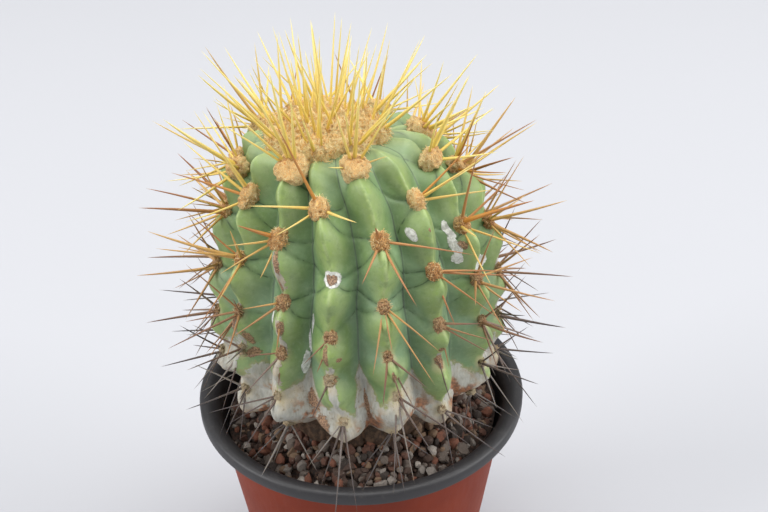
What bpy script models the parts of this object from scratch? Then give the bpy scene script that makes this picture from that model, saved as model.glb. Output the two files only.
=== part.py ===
"""A potted copiapoa cactus: a ribbed globe with areoles and needle spines, a
woolly crown, a bed of grit and a thin plastic nursery pot.

Metres, +Z up. The origin is the centre of the pot's flat underside.
"""
import math
import random

import bmesh
import bpy
from mathutils import Matrix, Vector

MM = 0.001
GAP = 0.3 * MM

# Pot: a thin sheet pot with a lip turned out and down.
POT_HEIGHT = 100 * MM
LIP_RADIUS = 60 * MM
LIP_INNER_RADIUS = 56.2 * MM
LIP_DROP = 4.4 * MM
WALL_TOP_RADIUS = 53.8 * MM
BASE_RADIUS = 41 * MM
SHEET = 1.2 * MM
FLOOR_THICKNESS = 1.5 * MM
POT_SIDES = 40
DRAIN_RADIUS = 3.5 * MM
DRAIN_RING_RADIUS = 26 * MM
DRAIN_COUNT = 8

# Soil: a bed of grit, lower on the left than on the right.
SOIL_DEPTH_BELOW_RIM = 11 * MM
SOIL_TILT = 0.06
SOIL_SIDES = 48
SOIL_RINGS = 7
SOIL_RELIEF = 1.1 * MM
SOIL_EDGE_GAP = 1.6 * MM

# Cactus: the line along a rib's crest, from the crown down, is a superellipse
# above its widest level and a boxier one below it.
RIBS = 16
FIRST_RIB_DEG = -121.4
WIDEST_RADIUS = 50.2 * MM
WIDEST_LEVEL = POT_HEIGHT + 27.1 * MM
UPPER_HEIGHT = 81.0 * MM
UPPER_POWER = 2.36
LOWER_HEIGHT = 17.0 * MM
LOWER_POWER = 5.35
CROWN_EDGE_RADIUS = 25.5 * MM
LOBE_INNER_RADIUS = 41 * MM
NECK_RADIUS = 31 * MM
NECK_DEPTH = 27 * MM
DISH_RADIUS = 23.5 * MM
DISH_LEVEL = POT_HEIGHT + 97.5 * MM
GROOVE_DEPTH = 7.8 * MM
GROOVE_SHARPNESS = 2.3
RIB_STATIONS = (-0.75, -0.3, 0.3, 0.75, 1.0)
RING_STEP = 5.2 * MM
# The grooves are shallower at the crown and under the lobes, over these lengths of crest.
CROWN_GROOVE_SHARE = 0.30
CROWN_GROOVE_LENGTH = 45 * MM
LOBE_GROOVE_SHARE = 0.45
LOBE_GROOVE_LENGTH = 14 * MM
CHIN_FADE_LENGTH = 7 * MM
# The neck under the lobes: radius beyond the neck's own, height above the rim, groove depth.
NECK_FLARE = ((0.0, -7 * MM, 0.0), (1.5 * MM, 1 * MM, 0.5 * MM), (5 * MM, 7 * MM, 2.5 * MM))
CHIN_SWELL = 1.3 * MM

# Areoles: the first lies near the crown, and they close up further down.
FIRST_AREOLE_RADIUS = 28.8 * MM
AREOLE_STEP = 22 * MM
AREOLE_CLOSING = 0.7 * MM
EVEN_RIB_AREOLES = (0.0, 1.0, 2.0, 3.0, 4.0, 5.0)
ODD_RIB_AREOLES = (0.5, 1.5, 2.5, 3.5, 4.5)
PAD_SIDES = 5
PAD_HEIGHT = 1.5 * MM
PAD_ROOT = 1.6 * MM
PAD_RADII = (4.6 * MM, 2.6 * MM)

# Spines: three-sided needles of the real length and thickness.
SPINE_RADIUS = 0.8 * MM
SPINE_ROOT = 1.8 * MM
YOUNG_AREOLES = 2.6
CENTRAL_LENGTHS = (31 * MM, 20 * MM)
RADIAL_LENGTHS = (25 * MM, 16 * MM)
RIM_CLEARANCE = 3.5 * MM
CROWN_CLEAR_ELEVATION_DEG = 46.0
OUTWARD_SHARE = 0.25

# Woolly crown: a low dome of wool with tufts and golden spines.
WOOL_RADIUS = 22.6 * MM
WOOL_HEIGHT = 6.2 * MM
WOOL_SIDES = 20
# Each ring of tufts: how many, at what radius, and how far its spines lean out in degrees.
TUFT_RINGS = ((1, 0.0, 0.0), (6, 8.0 * MM, 14.0), (11, 16.0 * MM, 34.0))
TUFT_RADIUS = 4.4 * MM
CROWN_SPINES_PER_TUFT = 5
CROWN_SPINE_LENGTHS = (22 * MM, 31 * MM)
CROWN_SPINE_MIN_ELEVATION_DEG = 50.0


def clear_scene():
    for obj in list(bpy.data.objects):
        bpy.data.objects.remove(obj, do_unlink=True)


def plain_material(name, colour, roughness, metallic=0.0):
    material = bpy.data.materials.new(name)
    material.use_nodes = True
    shader = material.node_tree.nodes["Principled BSDF"]
    shader.inputs["Base Color"].default_value = (*colour, 1.0)
    shader.inputs["Roughness"].default_value = roughness
    shader.inputs["Metallic"].default_value = metallic
    return material


def object_from_bmesh(name, bm, material, collection=None):
    bmesh.ops.recalc_face_normals(bm, faces=bm.faces)
    mesh = bpy.data.meshes.new(name)
    bm.to_mesh(mesh)
    bm.free()
    mesh.materials.append(material)
    obj = bpy.data.objects.new(name, mesh)
    (collection or bpy.context.scene.collection).objects.link(obj)
    return obj


def polar(radius, angle, height):
    return Vector((radius * math.cos(angle), radius * math.sin(angle), height))


def loft(bm, rings):
    """Skin a closed body through rings of equal count, with a flat cap at each end."""
    rows = [[bm.verts.new(point) for point in ring] for ring in rings]
    count = len(rows[0])
    for lower, upper in zip(rows, rows[1:]):
        for i in range(count):
            j = (i + 1) % count
            bm.faces.new((lower[i], lower[j], upper[j], upper[i]))
    bm.faces.new(reversed(rows[0]))
    bm.faces.new(rows[-1])


def fuse(core, collection, solver="EXACT"):
    """Union everything in the collection with the core, then drop the collection's objects."""
    modifier = core.modifiers.new("Fuse", "BOOLEAN")
    modifier.operation = "UNION"
    modifier.operand_type = "COLLECTION"
    modifier.collection = collection
    modifier.solver = solver
    bpy.context.view_layer.objects.active = core
    bpy.ops.object.modifier_apply(modifier=modifier.name)
    for obj in list(collection.objects):
        bpy.data.objects.remove(obj, do_unlink=True)
    bpy.data.collections.remove(collection)


def new_collection(name):
    collection = bpy.data.collections.new(name)
    bpy.context.scene.collection.children.link(collection)
    return collection


def upper_crest(radius):
    """Height of the rib crest above the widest level at a radius."""
    return WIDEST_LEVEL + UPPER_HEIGHT * (1 - (radius / WIDEST_RADIUS) ** UPPER_POWER) ** (1 / UPPER_POWER)


def crest_outline():
    """Points (radius, height) along a rib crest, from the crown's edge to the lobe's underside."""
    steps = 200
    points = []
    widest = math.acos((CROWN_EDGE_RADIUS / WIDEST_RADIUS) ** (UPPER_POWER / 2))
    for i in range(steps):
        angle = widest * (1 - i / steps)
        radius = WIDEST_RADIUS * math.cos(angle) ** (2 / UPPER_POWER)
        points.append((radius, upper_crest(radius)))
    lowest = math.acos((LOBE_INNER_RADIUS / WIDEST_RADIUS) ** (LOWER_POWER / 2))
    for i in range(steps + 1):
        angle = lowest * i / steps
        radius = WIDEST_RADIUS * math.cos(angle) ** (2 / LOWER_POWER)
        drop = LOWER_HEIGHT * math.sin(angle) ** (2 / LOWER_POWER)
        points.append((radius, WIDEST_LEVEL - drop))
    return points


class Crest:
    """The rib crest's outline by its length, measured down from the first areole."""

    def __init__(self):
        self.points = crest_outline()
        self.lengths = [0.0]
        for a, b in zip(self.points, self.points[1:]):
            self.lengths.append(self.lengths[-1] + math.dist(a, b))
        start = next(i for i, p in enumerate(self.points) if p[0] >= FIRST_AREOLE_RADIUS)
        shift = self.lengths[start]
        self.lengths = [length - shift for length in self.lengths]

    def at(self, length):
        """Radius, height and the outward normal (radial, vertical) at a length."""
        last = len(self.points) - 2
        i = next((k for k in range(last + 1) if self.lengths[k + 1] >= length), last)
        span = self.lengths[i + 1] - self.lengths[i]
        t = (length - self.lengths[i]) / span
        (r0, z0), (r1, z1) = self.points[i], self.points[i + 1]
        along = Vector((r1 - r0, z1 - z0)).normalized()
        return r0 + (r1 - r0) * t, z0 + (z1 - z0) * t, Vector((-along.y, along.x))


def areole_length(number):
    return AREOLE_STEP * number - AREOLE_CLOSING * number ** 2


def areole_number(length):
    """The areole number, whole or not, at a length along the crest."""
    root = AREOLE_STEP ** 2 - 4 * AREOLE_CLOSING * length
    return (AREOLE_STEP - math.sqrt(max(root, 0.0))) / (2 * AREOLE_CLOSING)


def chin(length, rib):
    """The crest's swelling below each areole and its pinch at the areole."""
    phase = areole_number(length) - (0.5 if rib % 2 else 0.0)
    return CHIN_SWELL * math.sin(2 * math.pi * phase - 0.6)


def rib_angle(rib):
    return math.radians(FIRST_RIB_DEG + 360 / RIBS * rib)


def ribbed_ring(radius, height, normal, depth, swell, length):
    """One ring of the stem: rounded crests and narrow grooves, cut in along the normal."""
    ring = []
    for rib in range(RIBS):
        for station in RIB_STATIONS:
            across = abs(station)
            cut = depth * across ** GROOVE_SHARPNESS
            cut -= swell * chin(length, rib) * (1 - across ** 2)
            angle = rib_angle(rib) + station * math.pi / RIBS
            ring.append(polar(radius - normal.x * cut, angle, height - normal.y * cut))
    return ring


def stem_rings(crest):
    flat = Vector((1.0, 0.0))
    rings = [ribbed_ring(NECK_RADIUS - 1 * MM, POT_HEIGHT - NECK_DEPTH, flat, 0, 0, 0)]
    for flare, level, depth in NECK_FLARE:
        rings.append(ribbed_ring(NECK_RADIUS + flare, POT_HEIGHT + level, flat, depth, 0, 0))
    first, last = crest.lengths[0], crest.lengths[-1]
    count = round((last - first) / RING_STEP)
    for i in range(count + 1):
        length = last + (first - last) * i / count
        radius, height, normal = crest.at(length)
        from_top = length - first
        from_end = last - length
        depth = GROOVE_DEPTH * min(1.0, CROWN_GROOVE_SHARE + from_top / CROWN_GROOVE_LENGTH)
        depth *= min(1.0, LOBE_GROOVE_SHARE + from_end / LOBE_GROOVE_LENGTH)
        swell = min(1.0, from_top / CHIN_FADE_LENGTH, from_end / CHIN_FADE_LENGTH)
        rings.append(ribbed_ring(radius, height, normal, depth, swell, length))
    rings.append(ribbed_ring(DISH_RADIUS, DISH_LEVEL, flat, 0, 0, 0))
    return rings


def frame_on_stem(crest, rib, number):
    """Place, normal, uphill and sideways directions at an areole."""
    length = areole_length(number)
    radius, height, normal = crest.at(length)
    angle = rib_angle(rib)
    out = Vector((math.cos(angle), math.sin(angle), 0))
    rise = Vector((0, 0, 1))
    face = (out * normal.x + rise * normal.y).normalized()
    side = rise.cross(out)
    uphill = face.cross(side)
    if uphill.z < 0:
        uphill = -uphill
    place = polar(radius, angle, height) + face * chin(length, rib)
    return place, face, uphill, side


def aim(direction):
    """Rotation that turns +Z to the direction."""
    return direction.to_track_quat("Z", "Y").to_matrix().to_4x4()


def add_needle(place, direction, length, material, collection):
    bm = bmesh.new()
    bmesh.ops.create_cone(bm, cap_ends=True, segments=3, radius1=SPINE_RADIUS, radius2=0.0,
                          depth=length + SPINE_ROOT)
    shift = Matrix.Translation(place + direction * (length - SPINE_ROOT) / 2)
    bmesh.ops.transform(bm, matrix=shift @ aim(direction), verts=bm.verts)
    bmesh.ops.remove_doubles(bm, verts=bm.verts, dist=0.01 * MM)
    return object_from_bmesh("needle", bm, material, collection)


def add_pad(place, face, radius, material, collection):
    bm = bmesh.new()
    bmesh.ops.create_cone(bm, cap_ends=True, segments=PAD_SIDES, radius1=radius, radius2=radius * 0.62,
                          depth=PAD_HEIGHT + PAD_ROOT)
    shift = Matrix.Translation(place + face * (PAD_HEIGHT - PAD_ROOT) / 2)
    bmesh.ops.transform(bm, matrix=shift @ aim(face), verts=bm.verts)
    return object_from_bmesh("pad", bm, material, collection)


def keep_clear(place, direction, length, out):
    """Turn a needle so that it passes over the pot's rim and outside the crown."""
    direction = direction.normalized()
    lowest = POT_HEIGHT + RIM_CLEARANCE
    steepest = math.sin(math.radians(CROWN_CLEAR_ELEVATION_DEG))
    for _ in range(60):
        if (place + direction * length).z < lowest:
            direction = (direction + Vector((0, 0, 0.08))).normalized()
        elif direction.z > steepest or direction.dot(out) < OUTWARD_SHARE:
            direction = (direction + out * 0.08 - Vector((0, 0, 0.03))).normalized()
        else:
            break
    return direction


def by_age(sizes, age):
    """A size between the youngest areole's and the oldest's."""
    youngest, oldest = sizes
    return youngest + (oldest - youngest) * age


def add_areole(crest, rib, number, draw, material, collection):
    place, face, uphill, side = frame_on_stem(crest, rib, number)
    out = Vector((face.x, face.y, 0)).normalized()
    age = number / EVEN_RIB_AREOLES[-1]
    pad_radius = by_age(PAD_RADII, age)
    add_pad(place, face, pad_radius, material, collection)
    radials = 4 if number < YOUNG_AREOLES else 3
    turn = 180 / radials if rib % 2 else 0
    for spine in range(radials + 1):
        if spine == 0:
            tilt = math.radians(draw.uniform(4, 14))
            clock = draw.uniform(0, 2 * math.pi)
            length = by_age(CENTRAL_LENGTHS, age)
        else:
            tilt = math.radians(draw.uniform(48, 60))
            clock = math.radians(turn + 360 / radials * spine + draw.uniform(-14, 14))
            length = by_age(RADIAL_LENGTHS, age) + draw.uniform(-2.5, 2.5) * MM
        around = uphill * math.cos(clock) + side * math.sin(clock)
        direction = keep_clear(place, face * math.cos(tilt) + around * math.sin(tilt), length, out)
        root = place + face * 0.3 * MM + around * (0.45 * pad_radius if spine else 0)
        add_needle(root, direction, length, material, collection)


def make_cactus_body():
    green = plain_material("Cactus green", (0.20, 0.29, 0.13), 0.55)
    crest = Crest()
    bm = bmesh.new()
    loft(bm, stem_rings(crest))
    body = object_from_bmesh("cactus_body", bm, green)
    parts = new_collection("Areoles and spines")
    draw = random.Random(7)
    for rib in range(RIBS):
        for number in (ODD_RIB_AREOLES if rib % 2 else EVEN_RIB_AREOLES):
            add_areole(crest, rib, number, draw, green, parts)
    fuse(body, parts)
    return body


def wool_level(radius):
    """Height of the wool's dome above its flat underside."""
    return WOOL_HEIGHT * (0.45 + 0.55 * math.sqrt(max(0.0, 1 - (radius / WOOL_RADIUS) ** 2)))


def make_woolly_crown():
    gold = plain_material("Golden wool", (0.60, 0.33, 0.11), 0.95)
    base = DISH_LEVEL + GAP
    turns = [2 * math.pi * i / WOOL_SIDES for i in range(WOOL_SIDES)]
    bm = bmesh.new()
    rings = [[polar(WOOL_RADIUS - 0.4 * MM, a, base) for a in turns]]
    for share in (1.0, 0.85, 0.5):
        radius = WOOL_RADIUS * share
        rings.append([polar(radius, a, base + wool_level(radius)) for a in turns])
    loft(bm, rings)
    crown = object_from_bmesh("woolly_crown", bm, gold)
    parts = new_collection("Tufts and golden spines")
    draw = random.Random(11)
    for count, ring_radius, lean in TUFT_RINGS:
        for i in range(count):
            angle = 2 * math.pi * (i + 0.5 * (count % 2)) / count
            radius = TUFT_RADIUS * draw.uniform(0.85, 1.1)
            centre = polar(ring_radius, angle, base + wool_level(ring_radius) - 0.35 * radius)
            add_tuft(centre, radius, gold, parts)
            out = polar(1, angle, 0) if ring_radius else Vector((1, 0, 0))
            add_crown_spines(centre, radius, out, lean, draw, gold, parts)
    fuse(crown, parts)
    return crown


def add_tuft(centre, radius, material, collection):
    bm = bmesh.new()
    bmesh.ops.create_icosphere(bm, subdivisions=1, radius=radius)
    squash = Matrix.Diagonal((1, 1, 0.75, 1))
    bmesh.ops.transform(bm, matrix=Matrix.Translation(centre) @ squash, verts=bm.verts)
    return object_from_bmesh("tuft", bm, material, collection)


def add_crown_spines(centre, radius, out, lean, draw, material, collection):
    """Needles that fan out of a tuft and stay steeper than the stem's own."""
    flattest = math.sin(math.radians(CROWN_SPINE_MIN_ELEVATION_DEG))
    side = Vector((0, 0, 1)).cross(out)
    for i in range(CROWN_SPINES_PER_TUFT):
        clock = 2 * math.pi * (i + draw.uniform(-0.25, 0.25)) / CROWN_SPINES_PER_TUFT
        spread = math.radians(draw.uniform(10, 26))
        around = out * math.cos(clock) + side * math.sin(clock)
        lift = math.radians(lean)
        axis = out * math.sin(lift) + Vector((0, 0, math.cos(lift)))
        direction = (axis * math.cos(spread) + around * math.sin(spread)).normalized()
        while direction.z < flattest:
            direction = (direction + Vector((0, 0, 0.06))).normalized()
        root = centre + Vector((0, 0, 0.2 * radius)) + around * 0.4 * radius
        add_needle(root, direction, draw.uniform(*CROWN_SPINE_LENGTHS), material, collection)


def soil_level(x):
    return POT_HEIGHT - SOIL_DEPTH_BELOW_RIM + SOIL_TILT * x


def wall_inner_radius(height):
    share = height / POT_HEIGHT
    return BASE_RADIUS + (WALL_TOP_RADIUS - BASE_RADIUS) * share - SHEET


def make_soil():
    grit = plain_material("Grit", (0.16, 0.10, 0.07), 0.95)
    draw = random.Random(3)
    turns = [2 * math.pi * i / SOIL_SIDES for i in range(SOIL_SIDES)]
    bottom = FLOOR_THICKNESS + GAP
    hole_radius = NECK_RADIUS + 3 * GAP
    hole_bottom = POT_HEIGHT - NECK_DEPTH - GAP
    outer = wall_inner_radius(soil_level(0)) - SOIL_EDGE_GAP
    rings = [[polar(wall_inner_radius(bottom) - 2 * GAP, a, bottom) for a in turns]]
    for ring in range(SOIL_RINGS + 1):
        radius = outer + (hole_radius - outer) * ring / SOIL_RINGS
        rough = 0 < ring < SOIL_RINGS
        points = []
        for a in turns:
            relief = draw.uniform(-1, 1) * SOIL_RELIEF if rough else 0
            turn = a + (draw.uniform(-0.25, 0.25) * turns[1] if rough else 0)
            points.append(polar(radius, turn, soil_level(radius * math.cos(a)) + relief))
        rings.append(points)
    rings.append([polar(hole_radius, a, hole_bottom) for a in turns])
    bm = bmesh.new()
    loft(bm, rings)
    return object_from_bmesh("soil", bm, grit)


def pot_profile():
    """Radius and height round the sheet's section, from the axis under the floor."""
    top = POT_HEIGHT
    under_lip = top - LIP_DROP
    return [
        (0, 0),
        (BASE_RADIUS - 1.5 * MM, 0),
        (BASE_RADIUS, 1.5 * MM),
        (WALL_TOP_RADIUS, top - 6 * MM),
        (WALL_TOP_RADIUS + 1.4 * MM, top - 2.6 * MM),
        (LIP_INNER_RADIUS + 0.9 * MM, top - SHEET),
        (LIP_RADIUS - SHEET, top - SHEET - 0.5 * MM),
        (LIP_RADIUS - SHEET, under_lip),
        (LIP_RADIUS, under_lip),
        (LIP_RADIUS, top - 1.0 * MM),
        (LIP_RADIUS - 1.0 * MM, top),
        (LIP_INNER_RADIUS, top),
        (WALL_TOP_RADIUS + 0.2 * MM, top - 2.2 * MM),
        (WALL_TOP_RADIUS - SHEET, top - 6 * MM),
        (BASE_RADIUS - SHEET, FLOOR_THICKNESS),
        (0, FLOOR_THICKNESS),
    ]


def make_pot():
    terracotta = plain_material("Terracotta plastic", (0.26, 0.06, 0.025), 0.5)
    black = plain_material("Black plastic", (0.02, 0.02, 0.022), 0.45)
    bm = bmesh.new()
    points = [bm.verts.new((radius, 0, height)) for radius, height in pot_profile()]
    edges = [bm.edges.new(pair) for pair in zip(points, points[1:])]
    bmesh.ops.spin(bm, geom=points + edges, cent=(0, 0, 0), axis=(0, 0, 1), steps=POT_SIDES,
                   angle=2 * math.pi)
    bmesh.ops.remove_doubles(bm, verts=bm.verts, dist=0.01 * MM)
    pot = object_from_bmesh("pot", bm, terracotta)
    pot.data.materials.append(black)
    for face in pot.data.polygons:
        centre = face.center
        outside_wall = face.normal.xy.dot(centre.xy) > 0 and centre.z < POT_HEIGHT - 5 * MM
        if not outside_wall and centre.z > 0.1 * MM:
            face.material_index = 1
    drill_drains(pot, terracotta)
    return pot


def drill_drains(pot, material):
    cutters = new_collection("Drain cutters")
    for i in range(DRAIN_COUNT):
        angle = 2 * math.pi * (i + 0.5) / DRAIN_COUNT
        bm = bmesh.new()
        bmesh.ops.create_cone(bm, cap_ends=True, segments=10, radius1=DRAIN_RADIUS,
                              radius2=DRAIN_RADIUS, depth=4 * FLOOR_THICKNESS)
        bmesh.ops.translate(bm, vec=polar(DRAIN_RING_RADIUS, angle, 0), verts=bm.verts)
        object_from_bmesh("drain", bm, material, cutters)
    modifier = pot.modifiers.new("Drains", "BOOLEAN")
    modifier.operation = "DIFFERENCE"
    modifier.operand_type = "COLLECTION"
    modifier.collection = cutters
    modifier.solver = "EXACT"
    bpy.context.view_layer.objects.active = pot
    bpy.ops.object.modifier_apply(modifier=modifier.name)
    for obj in list(cutters.objects):
        bpy.data.objects.remove(obj, do_unlink=True)
    bpy.data.collections.remove(cutters)


def main():
    clear_scene()
    make_pot()
    make_soil()
    make_cactus_body()
    make_woolly_crown()


main()
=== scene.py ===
import math
import random
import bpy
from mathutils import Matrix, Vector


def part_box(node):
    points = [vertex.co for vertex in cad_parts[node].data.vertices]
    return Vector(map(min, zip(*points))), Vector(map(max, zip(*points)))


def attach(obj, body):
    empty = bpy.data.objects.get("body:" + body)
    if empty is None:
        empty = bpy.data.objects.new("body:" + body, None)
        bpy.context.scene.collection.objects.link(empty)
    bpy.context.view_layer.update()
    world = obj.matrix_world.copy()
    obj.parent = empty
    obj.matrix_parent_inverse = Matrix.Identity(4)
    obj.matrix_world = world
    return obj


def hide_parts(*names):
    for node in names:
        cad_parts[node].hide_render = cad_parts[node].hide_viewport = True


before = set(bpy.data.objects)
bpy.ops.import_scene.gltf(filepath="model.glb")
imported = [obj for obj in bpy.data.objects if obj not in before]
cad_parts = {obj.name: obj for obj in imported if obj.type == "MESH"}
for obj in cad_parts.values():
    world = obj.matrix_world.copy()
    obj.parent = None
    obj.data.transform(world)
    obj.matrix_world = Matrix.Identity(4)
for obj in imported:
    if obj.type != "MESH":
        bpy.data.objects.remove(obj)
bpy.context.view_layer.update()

from types import SimpleNamespace

import bpy
import numpy as np
from mathutils import Matrix, Vector

MM = 0.001

# The pot's rim is the level from which heights on the plant are counted.
RIM_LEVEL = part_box("pot")[1].z
LIP_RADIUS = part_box("pot")[1].x

# The stem's main shape, as the solid has it. Its top and its lobes are finer here.
RIBS = 16
FIRST_RIB = math.radians(-121.4)
RIB_TURN = 2 * math.pi / RIBS
WIDEST_RADIUS = 50.2 * MM
WIDEST_LEVEL = RIM_LEVEL + 27.1 * MM
UPPER_HEIGHT = 81.0 * MM
UPPER_POWER = 2.36
LOWER_HEIGHT = 17.0 * MM
LOWER_POWER = 5.35
CROWN_EDGE_RADIUS = 25.5 * MM
LOBE_INNER_RADIUS = 41 * MM
NECK_RADIUS = 31 * MM
NECK_DEPTH = 27 * MM
DISH_RADIUS = 14.5 * MM
DISH_LEVEL = RIM_LEVEL + 97.5 * MM
RIBS_START_RADIUS = 16.5 * MM
TOP_FLATTENED_FROM = 28 * MM
TOP_DROP = 5.2 * MM
CREST_STEPS = 400
GROOVE_DEPTH = 7.8 * MM
GROOVE_SHARPNESS = 2.3
CROWN_GROOVE_SHARE = 0.30
CROWN_GROOVE_LENGTH = 45 * MM
LOBE_GROOVE_SHARE = 0.18
LOBE_GROOVE_LENGTH = 30 * MM
# Under each areole the crest swells into a chin, whose top lies a little above the areole.
CHIN_SWELL = 1.3 * MM
CHIN_STEP = 0.5 * MM
CHIN_PHASE = 0.6
CHIN_FADE_LENGTH = 7 * MM

# Areoles along a rib, numbered down from the crown.
FIRST_AREOLE_RADIUS = 28.8 * MM
AREOLE_STEP = 22 * MM
AREOLE_CLOSING = 0.7 * MM
EVEN_RIB_AREOLES = (0.0, 1.0, 2.0, 3.0, 4.0, 5.0)
ODD_RIB_AREOLES = (0.5, 1.5, 2.5, 3.5, 4.5)

# The growing point sits off the pot's middle, to the left and back.
CROWN_OFFSET = Vector((-7.0, 1.5, 0)) * MM
LEAN_START = RIM_LEVEL + 70 * MM
LEAN_HEIGHT = 30 * MM
LEAN_POWER = 1.5

# How far areoles sit off the even rule: rib, number, and millimetres sideways and down.
AREOLE_SHIFTS = (
    (-2, 0.0, 0.5, 7.0), (-2, 1.0, -1.5, 3.0), (-2, 2.0, -2.0, 4.0),
    (-1, 0.5, 0.5, 0.5), (-1, 1.5, 0.0, 1.5), (-1, 2.5, 2.0, 0.0), (-1, 3.5, 3.5, -4.0),
    (0, 0.0, 3.4, -2.4), (0, 1.0, 0.0, -1.0), (0, 2.0, 2.5, -1.0), (0, 3.0, 2.5, -1.5),
    (0, 4.0, 0.0, -1.0), (0, 5.0, 0.0, 0.0),
    (1, 0.5, -0.5, -2.0), (1, 1.5, 0.0, -1.5), (1, 2.5, 0.0, -1.5), (1, 3.5, -1.0, -3.5),
    (1, 4.5, 3.0, -3.5),
    (2, 0.0, 2.0, -3.2), (2, 1.0, 1.0, -2.0), (2, 2.0, -2.0, -2.0), (2, 3.0, -1.5, -3.0),
    (2, 4.0, 1.0, -4.5), (2, 5.0, 0.5, -2.0),
    (3, 0.5, 3.0, 0.0), (3, 1.5, -2.0, 0.5), (3, 2.5, -2.5, -0.5), (3, 3.5, -3.0, -4.0),
    (3, 4.5, -2.0, -1.0),
    (4, 0.0, 7.5, 4.0), (4, 1.0, -0.5, 2.5), (4, 2.0, -2.0, 1.0), (4, 3.0, -1.0, -1.0),
    (5, 0.5, 5.0, 2.0), (5, 1.5, 2.0, 1.0), (5, 3.0, 0.0, 0.0),
)
SHIFT_STEP = 0.5
FREE_SHIFT = 1.4 * MM
FREE_SHIFT_NUMBERS = (0, 1.5, 3, 4.5)
SHIFT_HOLD_LENGTH = 8 * MM

# Creases join each areole to the next lower ones of the ribs at its sides. They fade out
# between two areole numbers.
CREASE_SAG = 0.12
CREASE_WANDER = 0.14
CREASE_WANDER_SIZE = 15 * MM
CREASE_SLOPE = 0.6
CREASE_HALF_WIDTH = 0.75 * MM
CREASE_DEPTH = 0.55 * MM
CREASES_FADE = (1.9, 2.9)
# What is left of them, and of the spindles, on the old skin below.
OLD_CREASE_SHARE = 0.3
OLD_SPINDLE_SHARE = 0.4
# A spindle-shaped face stands proud between one areole of a rib and the next. It has these
# half widths, as shares of the rib's: at its ends, what its middle adds, and its lean downwards.
SPINDLE_RISE = 0.7 * MM
SPINDLE_END = 0.17
SPINDLE_MIDDLE = 0.55
SPINDLE_LEAN = 0.06
CREST_RIDGE = 0.3 * MM
CREST_RIDGE_SHARE = 0.25
FLANK_POWER = 1.16
GROOVE_DEEPENED = 0.94
YOUNG_GROOVE_LENGTH = 22 * MM
CREST_WAVER = 0.012
CREST_WAVER_SIZE = 14 * MM
# Uneven relief: height and size of the bumps in millimetres, and the seed.
SKIN_RELIEF = ((0.45, 16, 1), (0.16, 5, 2))
AGED_RELIEF = ((0.45, 3.2, 3), (0.2, 1.5, 4))
BARK_RELIEF = ((0.7, 4, 8), (0.35, 1.6, 9))
AGED_LEVELS = (RIM_LEVEL + 38 * MM, RIM_LEVEL + 14 * MM)

# The lobes end in points, between which the stem's edge is drawn up and in.
LOBE_POINT_LENGTH = 22 * MM
LOBE_DRAWN_UP = 2.2 * MM
LOBE_DRAWN_IN = 1.4 * MM
LOBE_BLUNTNESS = 2.4

# The neck runs from the lobes' underside down a curve, then straight into the soil, and is
# closed at its foot: the shares of its rows at which the curve and the straight part end.
NECK_CURVE_SHARE = 0.4
NECK_STRAIGHT_SHARE = 0.5
NECK_TOP = (NECK_RADIUS + 2.5 * MM, RIM_LEVEL + 5 * MM)
NECK_CURVE_PULL = (4 * MM, 1 * MM)
BARK_ABOVE = RIM_LEVEL - 20 * MM
# Old lobes show as swellings of the neck just under the rim's level.
OLD_LOBE_SWELL = 1.8 * MM
OLD_LOBE_LEVEL = RIM_LEVEL - 2.5 * MM
OLD_LOBE_HEIGHT = 4.5 * MM

# The skin's mesh: columns, and rows from the crown's dish over the crest to the neck's foot.
STEM_COLUMNS = 24 * RIBS
STEM_ROWS = 240
DISH_ROWS = 8
NECK_ROWS = 22

# The camera, found from the rim's ellipse and the ribs.
LOOK_AT = Vector((9.3, 0, 53.94)) * MM + Vector((0, 0, RIM_LEVEL))
CAMERA_DISTANCE = 346.1 * MM
CAMERA_ELEVATION = math.radians(31.43)
CAMERA_ROLL = math.radians(-1.01)
SENSOR_WIDTH_MM = 36
FOCAL_LENGTH_PIXELS = 1000
PHOTO_WIDTH_PIXELS = 768
LENS_MM = SENSOR_WIDTH_MM * FOCAL_LENGTH_PIXELS / PHOTO_WIDTH_PIXELS


def select_only(obj):
    bpy.ops.object.select_all(action="DESELECT")
    obj.select_set(True)
    bpy.context.view_layer.objects.active = obj


def finish_piece(obj, name, material, node):
    """Name a finished piece, give it its material and tie it to the frame."""
    obj.name = name
    obj.data.name = name
    obj.data.materials.clear()
    obj.data.materials.append(material)
    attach(obj, "root")
    if node:
        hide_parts(node)
    return obj


def points_of(obj):
    flat = np.empty(len(obj.data.vertices) * 3)
    obj.data.vertices.foreach_get("co", flat)
    return flat.reshape(-1, 3)


def set_points(obj, points):
    obj.data.vertices.foreach_set("co", np.asarray(points, np.float32).ravel())
    obj.data.update()


def set_attribute(obj, name, values):
    attribute = obj.data.attributes.new(name, "FLOAT", "POINT")
    attribute.data.foreach_set("value", np.asarray(values, np.float32).ravel())


def smooth_step(low, high, values):
    t = np.clip((values - low) / (high - low), 0, 1)
    return t * t * (3 - 2 * t)


def by_age(sizes, age):
    """A size between that of the youngest, whose age is 0, and that of the oldest, at 1."""
    youngest, oldest = sizes
    return youngest + (oldest - youngest) * age


def ripple(points, size, seed, waves=7):
    """A smooth uneven field between about -1 and 1, with bumps of about the given size."""
    draw = np.random.default_rng(seed)
    total = np.zeros(len(points))
    for _ in range(waves):
        direction = draw.normal(size=3)
        direction *= draw.uniform(0.6, 1.5) * math.pi / (size * np.linalg.norm(direction))
        total += np.sin(points @ direction + draw.uniform(0, 2 * math.pi))
    return total / math.sqrt(waves)


def relief(points, bumps):
    """The sum of ripples of several heights and sizes, which are given in millimetres."""
    return sum(height * MM * ripple(points, size * MM, seed) for height, size, seed in bumps)


def model_arrays(model):
    """A model's points and triangles. The model itself is removed."""
    unit = points_of(model)
    model.data.calc_loop_triangles()
    faces = np.array([t.vertices[:] for t in model.data.loop_triangles])
    bpy.data.objects.remove(model)
    return unit, faces


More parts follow.
